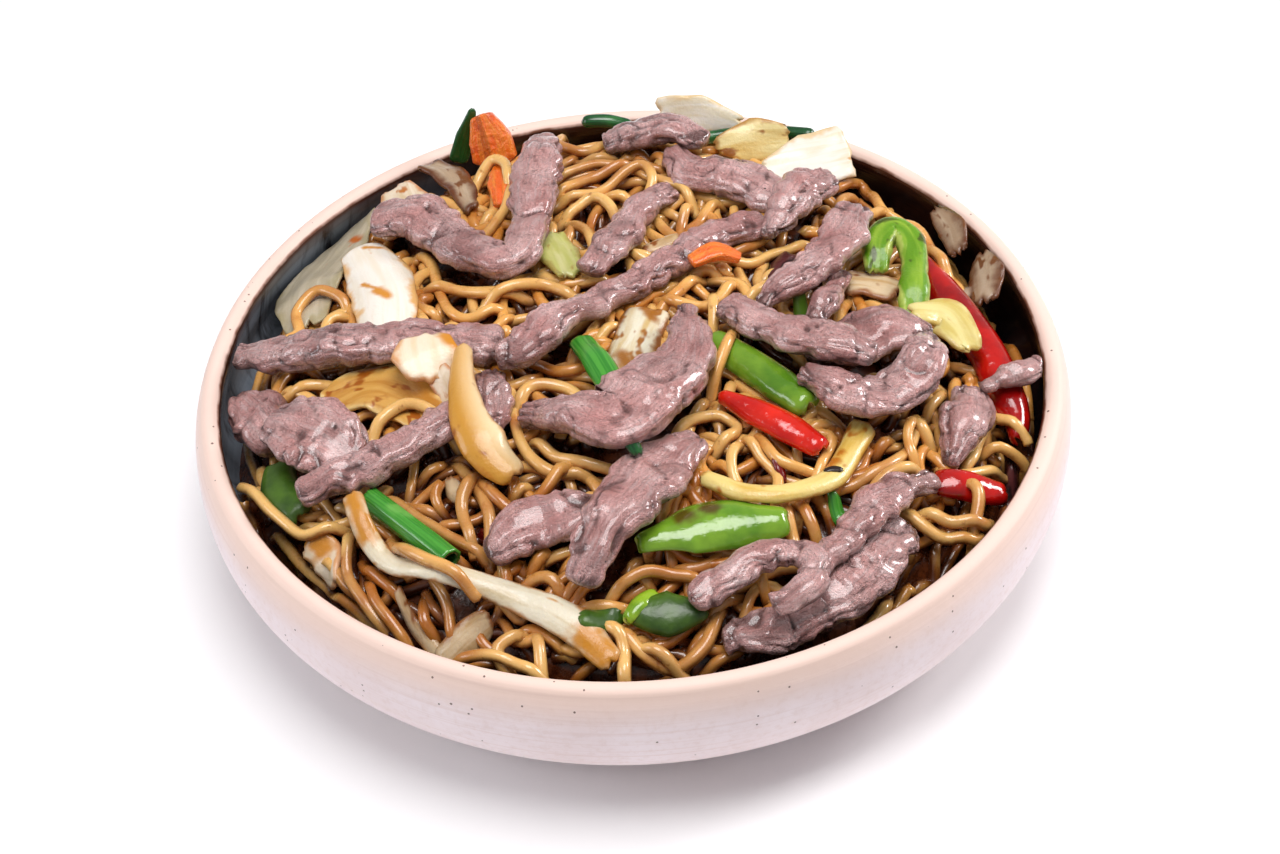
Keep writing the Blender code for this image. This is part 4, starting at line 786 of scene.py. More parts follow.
def beef_finish():
    """Cooked meat: mauve brown with long fibres, wrinkles and a wet sheen. Its creases, fibre grooves,
    wrinkle troughs, undersides and ends are darker as painted shade, the ends partly browned too, and its
    pale fibre streaks are partly painted sheen.
    """
    made = Finish("beef")
    place = made.place()
    grain = made.attribute("grain", "Vector")
    patches = made.noise(place, 0.08, 4.0, 0.6)
    browned = made.noise(place, 0.045, 3.0, 0.6)
    glints = made.noise(place, 1.2, 3.0, 0.6)
    fibres = made.streaks(grain, (0.13, 0.9, 1.0), 5.0, 0.65, 0.5)
    threads = made.streaks(grain, (0.25, 2.6, 1.0), 3.0, 0.6, 0.5)
    wrinkles = made.streaks(grain, (1.0, 0.4, 1.0), 4.0, 0.6, 1.4)
    colour = made.mix(made.rise(patches, 0.36, 0.64), (255, 203, 198), (220, 156, 150))
    # Pale fibre streaks are partly the meat's own and partly painted sheen; the darker grooves between
    # fibres and wrinkles are painted shade.
    colour = made.mix(made.rise(fibres, 0.46, 0.7, 0.0, 0.65), colour, (244, 214, 212))
    colour = made.mix(made.rise(fibres, 0.28, 0.44, 0.6, 0.0), colour, (140, 86, 79))
    colour = made.mix(made.rise(wrinkles, 0.26, 0.42, 0.65, 0.0), colour, (132, 78, 71))
    colour = made.mix(made.rise(made.noise(place, 0.06), 0.54, 0.68, 0.0, 0.45), colour, (214, 140, 134))
    colour = made.mix(made.rise(browned, 0.54, 0.68, 0.0, 0.6), colour, (140, 82, 76))
    # Painted shade: darker where the relief attribute is low, in creases, folds and wrinkle troughs, on the
    # sides and undersides and at the ends, which are partly browned as well.
    colour = made.mix(made.rise(made.attribute("relief"), -0.5, 0.62, 0.86, 0.0), colour, (98, 48, 40))
    made.set(Base_Color=made.mix(made.specks(place, 0.55, 0.13, 0.07), colour, (40, 22, 16)))
    made.set(Roughness=made.rise(patches, 0.3, 0.7, 0.24, 0.38))
    made.set(Specular_IOR_Level=0.7, Coat_Weight=1.0, Coat_Roughness=0.15)
    made.lit_within(0.06, (1.0, 0.35, 0.25))
    made.relief((wrinkles, 1.0, 1.2), (fibres, 1.0, 1.5), (threads, 1.0, 0.9), (glints, 1.0, 1.1))
    return made.material


def noodle_finish():
    """Boiled egg noodles, fried in dark sauce that shows in stains, with painted shade, partly sauce, on
    their undersides and on the noodles that lie deeper.
    """
    made = Finish("noodles")
    place = made.place()
    tone = made.attribute("tone")
    depth = made.attribute("depth")
    stain = made.noise(place, 0.06, 4.0, 0.6)
    smear = made.noise(place, 0.28, 4.0, 0.62)
    to_back = made.part_of(place, 1)
    more_in_front = made.rise(to_back, -90.0, -40.0, 0.06, 0.0)
    # Stains are likelier on darker tones, towards the front, and on noodles that lie deeper, which is
    # painted shade.
    browned = made.plus(made.plus(made.times(tone, 0.14), made.times(depth, 0.3)), more_in_front)
    stained = made.rise(made.plus(stain, browned), 0.52, 0.8)
    nearer = made.rise(to_back, -90.0, -40.0, 1.0, 0.0)
    pooled = made.rise(made.plus(made.noise(place, 0.03), made.times(nearer, 0.08)), 0.5, 0.62)
    # Painted shade, partly sauce: darker where a noodle faces down.
    underside_shade_and_sauce = made.rise(made.plus(made.attribute("facing"), made.swing(smear, 2.2)), -0.7, 0.5, 0.9, 0.0)
    colour = made.mix(tone, (238, 190, 114), (224, 158, 76))
    colour = made.mix(made.times(stained, 0.8), colour, (192, 114, 36))
    colour = made.mix(made.times(pooled, 0.5), colour, (160, 84, 26))
    colour = made.mix(underside_shade_and_sauce, colour, (160, 84, 26))
    colour = made.mix(made.rise(smear, 0.62, 0.72, 0.0, 0.6), colour, (150, 74, 22))
    # Painted shade: noodles that lie deeper in the heap are darker.
    colour = made.mix(made.rise(depth, 0.04, 0.62, 0.0, 0.97), colour, (76, 30, 9))
    made.set(Base_Color=made.mix(made.specks(place, 0.5, 0.16, 0.03), colour, (52, 24, 12)))
    made.set(Roughness=made.rise(smear, 0.3, 0.7, 0.38, 0.2), Coat_Weight=0.6, Coat_Roughness=0.1)
    made.lit_within(0.12, (1.0, 0.5, 0.2))
    made.relief((made.noise(place, 0.5, 3.0), 0.3, 0.25))
    return made.material


def sauce_and_shade_finish():
    """The dark sauce that fills the gaps between noodles, dark enough to stand in for the shade deep in
    those gaps as well: partly painted shade.
    """
    made = Finish("sauce")
    lumps = made.noise(made.place(), 0.3, 4.0, 0.6)
    made.set(Base_Color=made.mix(made.rise(lumps, 0.35, 0.7), (58, 22, 8), (112, 54, 20)))
    made.set(Roughness=made.rise(lumps, 0.3, 0.7, 0.18, 0.4), Coat_Weight=0.4, Coat_Roughness=0.1)
    made.relief((lumps, 0.5, 0.8))
    return made.material


def leaf_finish(name):
    """Cooked cabbage or onion: streaked along its veins, brown at its edges and in stains, and wet."""
    look = LEAVES[name]
    made = Finish(name)
    place = made.place()
    grain = made.attribute("grain", "Vector")
    veins = made.streaks(grain, (0.05, 0.38, 1.0), 3.0, 0.5, 0.4)
    blots = made.streaks(grain, (0.13, 0.24, 1.0), 2.0)
    blisters = made.noise(place, 0.8, 3.0, 0.6)
    streaked = made.rise(veins, 0.38, 0.72)
    if look.halved:
        streaked = made.rise(made.part_of(grain, 1), -2.5, 4.5)
    ragged_edge = made.plus(made.attribute("edge"), made.swing(made.noise(place, 0.2, 3.0), 0.9))
    colour = made.mix(streaked, look.body, look.streak)
    colour = made.mix(made.rise(ragged_edge, look.border, 1.05, 0.0, look.edged), colour, look.edge)
    colour = made.mix(made.rise(blots, look.stained, look.stained + 0.09, 0.0, 0.97), colour, look.stain)
    colour = made.mix(made.times(made.attribute("spot"), 0.96), colour, look.stain)
    made.set(Base_Color=colour, Roughness=0.34, Specular_IOR_Level=0.35)
    made.set(Coat_Weight=0.35, Coat_Roughness=0.12)
    made.lit_within(look.clear, (1.0, 0.8, 0.5), 2.5)
    made.relief((veins, CUTS[name].veins, 0.6), (blisters, 0.4, 0.6))
    return made.material


def pepper_finish(name):
    """The smooth waxy skin of a pepper over its paler flesh."""
    look = SKINS[name]
    made = Finish(name)
    place = made.place()
    cloud = made.noise(place, 0.1, 3.0)
    smear = made.noise(place, 0.2, 4.0, 0.6)
    skin = made.mix(made.rise(cloud, 0.35, 0.68), look.light, look.dark)
    skin = made.mix(made.rise(smear, 0.66, 0.78, 0.0, 0.6), skin, (92, 58, 20))
    skin = made.mix(made.times(made.attribute("spot"), 0.9), skin, (84, 56, 16))
    flesh = made.mix(made.rise(smear, 0.4, 0.7), look.flesh, look.light)
    made.set(Base_Color=made.mix(made.rise(made.attribute("skin"), 0.35, 0.65), flesh, skin))
    made.set(Roughness=look.rough, Coat_Weight=SKIN_SHINE / look.rough, Coat_Roughness=0.05)
    made.lit_within(0.02, (0.8, 1.0, 0.3))
    made.relief((cloud, 0.4, 1.5), (smear, 0.35, 0.8))
    return made.material


def carrot_finish():
    """Bright cut carrot with pale lines along it, wet in places."""
    made = Finish("carrot")
    place = made.place()
    lines = made.streaks(made.attribute("grain", "Vector"), (0.09, 1.1, 1.0), 4.0, 0.6, 0.3)
    glints = made.noise(place, 0.6, 4.0, 0.65)
    colour = made.mix(made.rise(lines, 0.38, 0.66), (250, 104, 12), (255, 142, 44))
    colour = made.mix(made.rise(made.noise(place, 0.2, 3.0), 0.55, 0.72, 0.0, 0.6), colour, (214, 70, 8))
    made.set(Base_Color=colour, Roughness=0.3, Coat_Weight=0.6, Coat_Roughness=0.1)
    made.lit_within(0.1, (1.0, 0.4, 0.1))
    made.relief((lines, 1.0, 0.9), (glints, 0.9, 1.0))
    return made.material


def stalk_finish(name):
    """The green of a spring onion, with fine lines along it, and painted shade inside a hollow one."""
    look = STALKS[name]
    made = Finish(name)
    lines = made.streaks(made.attribute("grain", "Vector"), (0.03, 1.3, 1.0))
    patches = made.noise(made.place(), 0.08, 3.0)
    colour = made.mix(made.rise(lines, 0.4, 0.62), look.light, look.dark)
    colour = made.mix(made.rise(patches, 0.58, 0.7, 0.0, 0.6), colour, look.pale)
    # Painted shade: the inside of a hollow stalk is dark green.
    inner = made.rise(made.attribute("skin"), 0.35, 0.65, 0.8, 0.0)
    made.set(Base_Color=made.mix(inner, colour, (24, 70, 22)))
    made.set(Roughness=0.2, Coat_Weight=0.35, Coat_Roughness=0.08)
    made.lit_within(0.08, (0.5, 1.0, 0.3))
    made.relief((lines, 0.4, 0.35))
    return made.material


def all_finishes():
    """The finish of each look."""
    made = {"beef": beef_finish(), "carrot": carrot_finish()}
    for looks, finish in ((STALKS, stalk_finish), (LEAVES, leaf_finish), (SKINS, pepper_finish)):
        made.update({name: finish(name) for name in looks})
    return made


# The bowl

def arc(start_angle, end_angle, centre, radii, steps):
    angles = np.radians(np.linspace(start_angle, end_angle, steps + 1))
    return np.stack([centre[0] + radii[0] * np.cos(angles), centre[1] + radii[1] * np.sin(angles)], axis=1)


def bowl_profile():
    """Radius, height and how far inside the glaze each point of the outline lies."""
    lip_radius = LIP_WIDTH / 2
    lip_height = RIM_HEIGHT - lip_radius
    rim_radius = RIM_INNER_RADIUS + LIP_WIDTH
    inner = arc(-90, 0, (FLOOR_RADIUS, BELLY_HEIGHT),
                (INNER_BELLY_RADIUS - FLOOR_RADIUS, BELLY_HEIGHT - FLOOR_HEIGHT), steps=24)
    lip = arc(180, 0, (RIM_INNER_RADIUS + lip_radius, lip_height), (lip_radius, lip_radius), steps=20)
    shoulder = arc(70, 0, (rim_radius, BELLY_HEIGHT),
                   (BELLY_RADIUS - rim_radius, lip_height - BELLY_HEIGHT), steps=10)
    belly = arc(0, -90, (FOOT_RADIUS, BELLY_HEIGHT),
                (BELLY_RADIUS - FOOT_RADIUS, BELLY_HEIGHT), steps=30)[1:]
    between = np.linspace(inner[-1], lip[0], 6)[1:-1]
    floor = np.linspace((MIDDLE_HOLE, FLOOR_HEIGHT), inner[0], 8)[:-1]
    under = np.linspace(belly[-1], (MIDDLE_HOLE, 0.0), 6)[1:]
    bare = len(shoulder) + len(belly) + len(under)
    glaze = np.concatenate([np.full(len(floor) + len(inner), GLAZED),
                            np.linspace(*WALL_GLAZE, len(between)),
                            np.linspace(*LIP_GLAZE, len(lip)), np.full(bare, BARE_CLAY)])
    outline = np.vstack([floor, inner, between, lip, shoulder, belly, under])
    last = len(outline) - len(under) - FOOT_POINTS_KEPT
    first = last - len(belly) - len(shoulder) - 1
    for _ in range(OUTLINE_SOFTENING):
        outline[first:last] = (outline[first - 1:last - 1] + 2 * outline[first:last]
                               + outline[first + 1:last + 1]) / 4
    return outline, glaze


def add_bowl():
    """The bowl, turned on a wheel by hand, so that no part of its outline is quite round."""
    profile, glaze = bowl_profile()
    angles = np.arange(BOWL_SEGMENTS) * (2 * math.pi / BOWL_SEGMENTS)
    circle = np.tile(np.stack([np.cos(angles), np.sin(angles)], axis=1), (len(profile), 1))
    reach, heights, glazed = (np.repeat(row, BOWL_SEGMENTS) for row in (profile[:, 0], profile[:, 1], glaze))
    waves = np.column_stack([circle * UNEVEN_WAVES, heights / UNEVEN_HEIGHT])
    wobble = BOWL_UNEVEN * noise(waves, seed=3)
    share = INSIDE_UNEVEN + (1 - INSIDE_UNEVEN) * smooth_step(-glazed)
    reach = reach + wobble * np.clip(reach / EVEN_MIDDLE, 0, 1) * share
    lift = RIM_UNEVEN * noise(np.column_stack([circle * RIM_WAVES, np.zeros(len(circle))]), seed=5)
    heights = heights + lift * smooth_step((heights - RIM_WAVE_START) / RIM_WAVE_LENGTH)
    points = np.column_stack([circle * reach[:, None], heights])
    points = np.vstack([points, [[0, 0, FLOOR_HEIGHT], [0, 0, 0]]])
    quads, fans = tube_faces(len(profile), BOWL_SEGMENTS)
    glazed = np.append(glazed, [GLAZED, BARE_CLAY])
    piece = add_mesh("clay_bowl", points, [quads[:, ::-1], fans[:, ::-1]], clay_and_glaze(),
                     {"glazed": glazed, "height": points[:, 2]})
    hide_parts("bowl")


# Toppings

Line = collections.namedtuple("Line", "centre side up widths thick")


def tree_of(node):
    """A node's mesh as a tree for rays, in millimetres."""
    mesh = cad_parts[node].data
    points = [tuple(v.co / MILLIMETRE) for v in mesh.vertices]
    return BVHTree.FromPolygons(points, [tuple(p.vertices) for p in mesh.polygons])


def surface_height(tree, x, y, looking_down=True):
    start = Vector((x, y, HIGH_ABOVE if looking_down else -HIGH_ABOVE))
    hit = tree.ray_cast(start, Vector((0, 0, -1 if looking_down else 1)))[0]
    return math.nan if hit is None else hit.z


def filled_in(values):
    """Values with the missing ones read from their neighbours."""
    known = ~np.isnan(values)
    places = np.arange(len(values))
    return np.interp(places, places[known], values[known])


def rows_across(plan, widths):
    """Three rows of places in plan: right of a route, on it and left of it."""
    forward = directions(plan)
    left = np.stack([-forward[:, 1], forward[:, 0]], axis=1)
    return [plan + left * (share * widths)[:, None] for share in (-ACROSS_SHARE, 0.0, ACROSS_SHARE)]


def sloped_line(plan, widths, levels, thick):
    """A line whose middle, sideways slope and thickness follow three rows of heights across it."""
    low, middle, high = levels
    slope = softened((high - low) / (2 * ACROSS_SHARE * np.maximum(widths, 1.0)), LINE_SOFTENING)
    centre = np.column_stack([plan, softened((low + middle + high) / 3, CENTRE_SOFTENING)])
    flat = directions(plan)
    side = unit_rows(np.column_stack([-flat[:, 1], flat[:, 0], slope]))
    up = unit_rows(np.cross(directions(centre), side))
    return Line(centre, side, up, widths, softened(thick, LINE_SOFTENING))


def raised_line(piece, plan, widths):
    """The line of a piece whose route is given with its heights, which stands or leans on the others."""
    count = len(plan)
    forward = directions(plan)
    side = np.stack([-forward[:, 1], forward[:, 0], np.zeros(count)], axis=1)
    if piece.side:
        side = np.tile(np.array(piece.side, float), (count, 1))
    side = unit_rows(side - forward * (side * forward).sum(axis=1)[:, None])
    up = unit_rows(np.cross(forward, side))
    thick = widths if piece.round_stalk else np.full(count, piece.thick)
    return Line(plan + up * thick[:, None] / 2, side, up, widths, thick)


def line_of_solid(piece, tree):
    """The middle of a topping's solid along its route, with its directions, widths and thickness."""
    plan = spaced_curve(piece.route, LINE_STEP)
    widths = table_at(piece.widths, len(plan))
    if plan.shape[1] == 3:
        return raised_line(piece, plan, widths)
    tops, lows = ([filled_in(np.array([surface_height(tree, x, y, looking_down) for x, y in row]))
                   for row in rows_across(plan, widths)] for looking_down in (True, False))
    levels = [(top + low) / 2 for top, low in zip(tops, lows)]
    return sloped_line(plan, widths, levels, tops[1] - lows[1])


def lengthened(line, reach):
    """The line with its ends drawn out by a reach, for the rounding of a piece's tips."""
    count = max(2, int(reach / TIP_STEP))
    steps = np.arange(1, count + 1) / count * reach
    forward = directions(line.centre)
    before = line.centre[0] - forward[0] * steps[::-1, None]
    after = line.centre[-1] + forward[-1] * steps[:, None]
    rows = [np.vstack([before, line.centre, after])]
    for values in line[1:]:
        first, last = np.repeat(values[:1], count, 0), np.repeat(values[-1:], count, 0)
        rows.append(np.concatenate([first, values, last]))
    return Line(*rows)


def respaced(line, step):
    """How far along a line evenly spaced places lie, and the line at those places."""
    along = distances(line.centre)
    places = np.linspace(0, along[-1], max(6, round(along[-1] / step) + 1))
    rows = [np.stack([np.interp(places, along, column) for column in part.T], axis=1)
            for part in (line.centre, line.side, line.up)]
    return places, Line(*rows, *(np.interp(places, along, values) for values in (line.widths, line.thick)))


def section_angles(sides):
    """Angles round a section, from its underside."""
    return (np.arange(sides) / sides) * 2 * math.pi - math.pi / 2


def ragged_edges(form, along, widths, rounding, seed):
    """How far the two edges of a strip lie from its middle."""
    still, own = along * 0, along * 0 + seed
    coarse, fine = (np.column_stack([along / length, still, own]) for length in RAGGED_LENGTHS)
    return [rounding * (widths / 2 + form.ragged * (noise(coarse, turn) + 0.9 * noise(fine, turn + 2)))
            for turn in (1, 2)]


def creased(form, base, grain, seed):
    """How far each point of a strip moves out, and how far it lies out of the creases, a value that the
    beef's colour reads as painted shade in the creases.
    """
    warp = GRAIN_WARP * noise(base / WARP_SIZE, seed + 50)
    along, around, own = grain.T
    bundles = np.abs(noise(np.column_stack([along / FIBRE_LENGTH, (around + warp) / FIBRE_WIDTH, own]), 8))
    steep = np.column_stack([(along + warp) / WRINKLE_WIDTH, around / WRINKLE_LENGTH, own])
    across = np.abs(noise(steep, 7))
    folds = np.abs(clouds(base / FOLD_SIZE, seed + 90))
    ridges = 0.4 - np.abs(clouds(base / RIDGE_SIZE, seed + 10))
    crease = np.exp(-(bundles / FIBRE_CREASE) ** 2)
    fold_crease = np.exp(-(folds / FOLD_CREASE) ** 2)
    wrinkled = smooth_step(clouds(base / RIDGE_SIZE, seed + 30) * 1.4 + 0.5)
    shift = (form.lumps * (0.45 * clouds(base / LUMP_SIZE, seed) + 1.3 * ridges)
             + form.grooves * (0.9 * bundles - 0.7 * crease)
             + form.wrinkles * wrinkled * (across * 2 - 0.8) - form.folds * fold_crease)
    wrinkle_crease = np.exp(-(across / WRINKLE_CREASE) ** 2)
    # Lower in creases, folds and wrinkle troughs, where the beef's colour paints shade.
    relief = 1.0 - 0.75 * crease - fold_crease - 0.6 * wrinkled * wrinkle_crease
    return shift, relief


def strip_mesh(piece, line, seed):
    """A slice of meat or carrot: rounded, lumpy, and creased along and across its fibres."""
    form = FORMS[piece.kind]
    line = lengthened(line, form.tip * float(np.mean(line.widths)) + TIP_REACH)
    along = distances(line.centre)
    count, sides = len(along), STRIP_SIDES
    ends = np.minimum(along, along[-1] - along)
    close = np.clip(ends / (form.blunt * line.widths), 0.0, 1.0)
    rounding = np.maximum(np.sqrt(np.clip(1.0 - (1.0 - close) ** 2.4, 0.0, 1.0)), 0.04)
    left, right = (edge[:, None] for edge in ragged_edges(form, along, line.widths, rounding, seed))
    tall = line.thick / 2 * np.sqrt(rounding) * np.clip(rounding * 1.6, 0, 1)
    angle = section_angles(sides)
    c, s = np.cos(angle), np.sin(angle)
    lateral, vertical = (np.sign(part) * np.abs(part) ** form.power for part in (c, s))
    base = (line.centre[:, None] + (np.where(c > 0, left, right) * lateral)[..., None] * line.side[:, None]
            + (tall[:, None] * vertical)[..., None] * line.up[:, None]).reshape(-1, 3)
    steps = np.hypot(np.diff(lateral, append=lateral[0]) * float(np.mean(line.widths)) / 2,
                     np.diff(vertical, append=vertical[0]) * float(np.mean(line.thick)) / 2)
    own = GRAIN_APART * seed
    grain = np.stack([np.repeat(along, sides), np.tile(np.cumsum(steps), count),
                      np.full(count * sides, own)], axis=1)
    normal = unit_rows(np.stack([(c / np.maximum(left, 0.5)).ravel(),
                                 (s / np.maximum(tall, 0.5)[:, None]).ravel()], axis=1))
    outward = (np.repeat(line.side, sides, axis=0) * normal[:, :1]
               + np.repeat(line.up, sides, axis=0) * normal[:, 1:])
    shift, relief = creased(form, base, grain, seed)
    on_top = np.tile(0.35 + 0.65 * smooth_step(s + 0.8), count)
    fade = np.repeat(np.clip(rounding * 1.3, 0, 1), sides) * on_top
    points = base + outward * (shift * fade)[:, None]
    # The ends are darker, partly browned and partly painted shade.
    shaded_browned_end = np.repeat(np.clip(1.0 - ends / SHADED_BROWNED_END, 0, 1), sides)
    relief = relief - shaded_browned_end * (0.8 + 0.6 * noise(base / 2.5, seed + 70))
    # Painted shade with some browning: the relief falls on the sides and undersides, by the angle round the
    # section.
    relief = np.minimum(relief, np.tile(np.clip(s * 2.2 + 0.35, -0.8, 1.0), count))
    grain = np.vstack([grain, [[0.0, 0.0, own], [along[-1], 0.0, own]]])
    return (np.vstack([points, line.centre[[0, -1]]]), tube_faces(count, sides),
            {"grain": grain, "relief": np.append(relief, [0, 0])})


def sheet_plan(cut, places, ends, widths, columns, seed):
    """Each point's share of the way across a sheet, and how far it lies sideways and lengthwise."""
    count = len(places)
    own = np.full(count, float(seed))
    share = np.tile(np.linspace(-0.5, 0.5, columns), (count, 1))
    rounded = np.sqrt(np.clip(1 - (1 - np.clip(ends / (cut.corner * widths), 0, 1)) ** 2.5, 0.0, 1.0))
    narrowing = 1 - (0.2 + cut.corner) * (1 - rounded)
    rough = 0.03 + 0.1 * cut.frill
    left, right = ((1 + rough * noise(np.column_stack([places / 4.5, own, own]), turn))[:, None]
                   for turn in (1, 2))
    sideways = share * (widths * narrowing)[:, None] * np.where(share < 0, left, right)
    own = np.repeat(own, columns)
    drift = noise(np.column_stack([own, share.ravel() * 5, own]), 4).reshape(count, columns)
    lengthwise = drift * DRIFT_REACH * cut.drift * np.sign(places - places[-1] / 2)[:, None]
    return share, sideways, lengthwise * np.clip(1 - ends / DRIFT_LENGTH, 0, 1)[:, None]


def round_border(count, columns):
    """The points of a grid's border, one after another."""
    return np.concatenate([np.arange(columns), np.arange(1, count) * columns + columns - 1,
                           (count - 1) * columns + np.arange(columns - 2, -1, -1),
                           np.arange(count - 2, 0, -1) * columns])


def thick_sheet(grid, half_thick):
    """Both faces of a curved sheet with a rounded rim between them, and the points at its border."""
    count, columns = grid.shape[:2]
    total = count * columns
    middle = grid.reshape(-1, 3)
    normals = unit_rows(np.cross(*(np.gradient(grid, axis=axis).reshape(-1, 3) for axis in (0, 1))))
    over = middle + normals * half_thick[:, None]
    under = middle - normals * half_thick[:, None]
    rows, cols = np.meshgrid(np.arange(count - 1), np.arange(columns - 1), indexing="ij")
    a = (rows * columns + cols).ravel()
    top = np.stack([a, a + columns, a + columns + 1, a + 1], axis=1)
    bottom = np.stack([a, a + 1, a + columns + 1, a + columns], axis=1) + total
    border = round_border(count, columns)
    outward = unit_rows(middle[border] - grid.mean(axis=(0, 1)))
    rim = middle[border] + outward * (0.5 * half_thick[border])[:, None]
    after, ring = np.roll(border, -1), 2 * total + np.arange(len(border))
    ring_after = np.roll(ring, -1)
    walls = np.concatenate([np.stack([border, after, ring_after, ring], axis=1),
                            np.stack([ring, ring_after, after + total, border + total], axis=1)])
    return np.vstack([over, under, rim]), [top, bottom, walls], border


def sheet_mesh(piece, line, seed):
    """A thin curved solid, such as a leaf or a strip of pepper, with both faces split alike."""
    cut = PEPPER_CUT if piece.look in SKINS else CUTS[piece.look]
    places, line = respaced(line, SHEET_CELL)
    count, columns = len(places), max(9, round(max(line.widths) / SHEET_CELL) + 1)
    total = count * columns
    thick = np.minimum(line.thick, max(piece.thick, 1.0) * THICKEST_SHEET)
    ends = np.minimum(places, places[-1] - places)
    share, sideways, lengthwise = sheet_plan(cut, places, ends, line.widths, columns, seed)
    own = np.full(total, SHEETS_APART * seed)
    flat = np.column_stack([np.repeat(places, columns), sideways.ravel(), own])
    to_side = np.abs(share).ravel() * 2
    waves = (cut.wave * piece.wave + LEAST_WAVE) * noise(flat / WAVE_SIZES, 5)
    waves = waves + cut.frill * to_side**3 * noise(flat / FRILL_SIZES, 6)
    arch = piece.arch * ((1 - 4 * share * share) - ARCH_MEAN).ravel()
    moves = ((line.side, sideways), (directions(line.centre), lengthwise), (line.up, arch + waves))
    middle = np.repeat(line.centre, columns, axis=0)
    for direction, reach in moves:
        middle = middle + np.repeat(direction, columns, axis=0) * reach.reshape(-1, 1)
    to_edge = np.maximum(to_side**4, np.repeat(np.clip(1 - ends / THIN_END, 0, 1) ** 2, columns))
    half_thick = np.repeat(thick / 2, columns) * (1 - cut.thin_edge * to_edge)
    points, faces, border = thick_sheet(middle.reshape(count, columns, 3), half_thick)
    to_rim = np.maximum(to_side, np.repeat(np.clip(1 - ends / BROWN_END, 0, 1), columns))
    edge = np.concatenate([to_rim, to_rim, np.ones(len(border))])
    skin = np.concatenate([np.ones(total), np.zeros(total), np.full(len(border), RIM_SKIN)])
    return points, faces, {"grain": np.vstack([flat, flat, flat[border]]), "edge": edge, "skin": skin}


def stalk_mesh(piece, line, seed):
    """A round stalk of spring onion, hollow where the photo shows its cut end."""
    along = distances(line.centre)
    count, sides = len(along), STALK_SIDES
    angle = section_angles(sides)
    radius = line.widths / 2
    dents = noise(np.column_stack([along / STALK_DENT_LENGTH, along * 0, along * 0 + seed]), 1)
    squash = 1 - STALK_DENTS + STALK_DENTS * dents
    section = (np.cos(angle)[None, :, None] * line.side[:, None]
               + (squash[:, None] * np.sin(angle)[None])[..., None] * line.up[:, None])
    around = np.tile(np.arange(sides) / sides * STALK_AROUND, count)
    grain = np.column_stack([np.repeat(along, sides), around, np.full(count * sides, GRAIN_APART * seed)])
    if not piece.hollow:
        ends = np.minimum(along, along[-1] - along)
        shape = np.sqrt(np.clip(1 - (1 - np.clip(ends / radius, 0, 1)) ** 2, 0.02, 1))
        rings = line.centre[:, None] + section * (radius * shape)[:, None, None]
        points = np.vstack([rings.reshape(-1, 3), line.centre[[0, -1]]])
        return (points, tube_faces(count, sides),
                {"grain": np.vstack([grain, grain[[0, -1]]]), "skin": np.ones(len(points))})
    ridges = STALK_RIDGE_DEPTH * np.sin(STALK_RIDGES * angle)[None, :, None]
    outer = line.centre[:, None] + section * radius[:, None, None]
    outer = outer + (outer - line.centre[:, None]) * ridges
    inner = line.centre[:, None] + section * np.full(count, piece.hollow / 2)[:, None, None]
    loop = np.concatenate([outer, inner[::-1]])
    ring, last = np.arange(sides), (len(loop) - 1) * sides
    closing = np.stack([last + ring, last + (ring + 1) % sides, (ring + 1) % sides, ring], axis=1)
    walls = np.concatenate([tube_faces(len(loop), sides)[0], closing])
    skin = np.concatenate([np.ones(count * sides), np.zeros(count * sides)])
    return loop.reshape(-1, 3), [walls], {"grain": np.vstack([grain, grain]), "skin": skin}


def kept_inside(points):
    """Points that would reach into the wall are pressed back from it."""
    reach = np.hypot(points[:, 0], points[:, 1])
    scale = np.minimum(1.0, FOOD_REACH / np.maximum(reach, 1.0))
    return points * np.column_stack([scale, scale, np.ones(len(points))])


def spotted(points, spots):
    """How deep in a stain each point lies, from 0 outside to 1."""
    stain = np.zeros(len(points))
    for x, y, end_x, end_y, radius in spots:
        start, reach = np.array([x, y]), np.array([end_x - x, end_y - y])
        share = np.clip((points[:, :2] - start) @ reach / max(reach @ reach, 1.0), 0.0, 1.0)
        away = np.linalg.norm(points[:, :2] - start - share[:, None] * reach, axis=1) / radius
        away += SPOT_RAGGED * noise(points / SPOT_GRAIN, 3)
        stain = np.maximum(stain, smooth_step((SPOT_REACH - away) / SPOT_FADE))
    return stain


def shape_of(piece):
    """The function that makes a piece's mesh."""
    if piece.round_stalk:
        return stalk_mesh
    return strip_mesh if piece.kind in FORMS else sheet_mesh


def add_food(name, spots, piece, line, seed, finishes):
    """A detailed piece of food along its line, stained where the photo shows it."""
    points, faces, attributes = shape_of(piece)(piece, line, seed)
    attributes["spot"] = spotted(points, spots)
    return add_mesh(name, kept_inside(points), faces, finishes[piece.look], attributes)


def add_toppings(finishes):
    """A detailed piece for each topping's solid. Returns the solids' trees."""
    numbers = collections.Counter()
    trees = []
    for seed, piece in enumerate(TOPPINGS, 1):
        numbers[piece.kind] += 1
        node = f"{piece.kind}_{numbers[piece.kind]:02d}"
        tree = tree_of(node)
        trees.append((node, tree))
        line = line_of_solid(piece, tree)
        made = add_food(f"{node}_food", SPOTS.get(node, ()), piece, line, seed, finishes)
        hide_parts(node)
    return trees


# The heap

def cells_of(plan):
    return np.clip(((plan + MAP_REACH) / CELL).astype(int), MAP_MARGIN, MAP_CELLS - 1 - MAP_MARGIN)


def disc(radius):
    """The cells under a noodle, and how far its round underside rises over each."""
    reach = int(radius / CELL)
    rows, cols = np.meshgrid(np.arange(-reach, reach + 1), np.arange(-reach, reach + 1), indexing="ij")
    away = np.hypot(rows, cols) * CELL
    inside = away <= radius
    return rows[inside], cols[inside], np.sqrt(radius**2 - away[inside] ** 2)


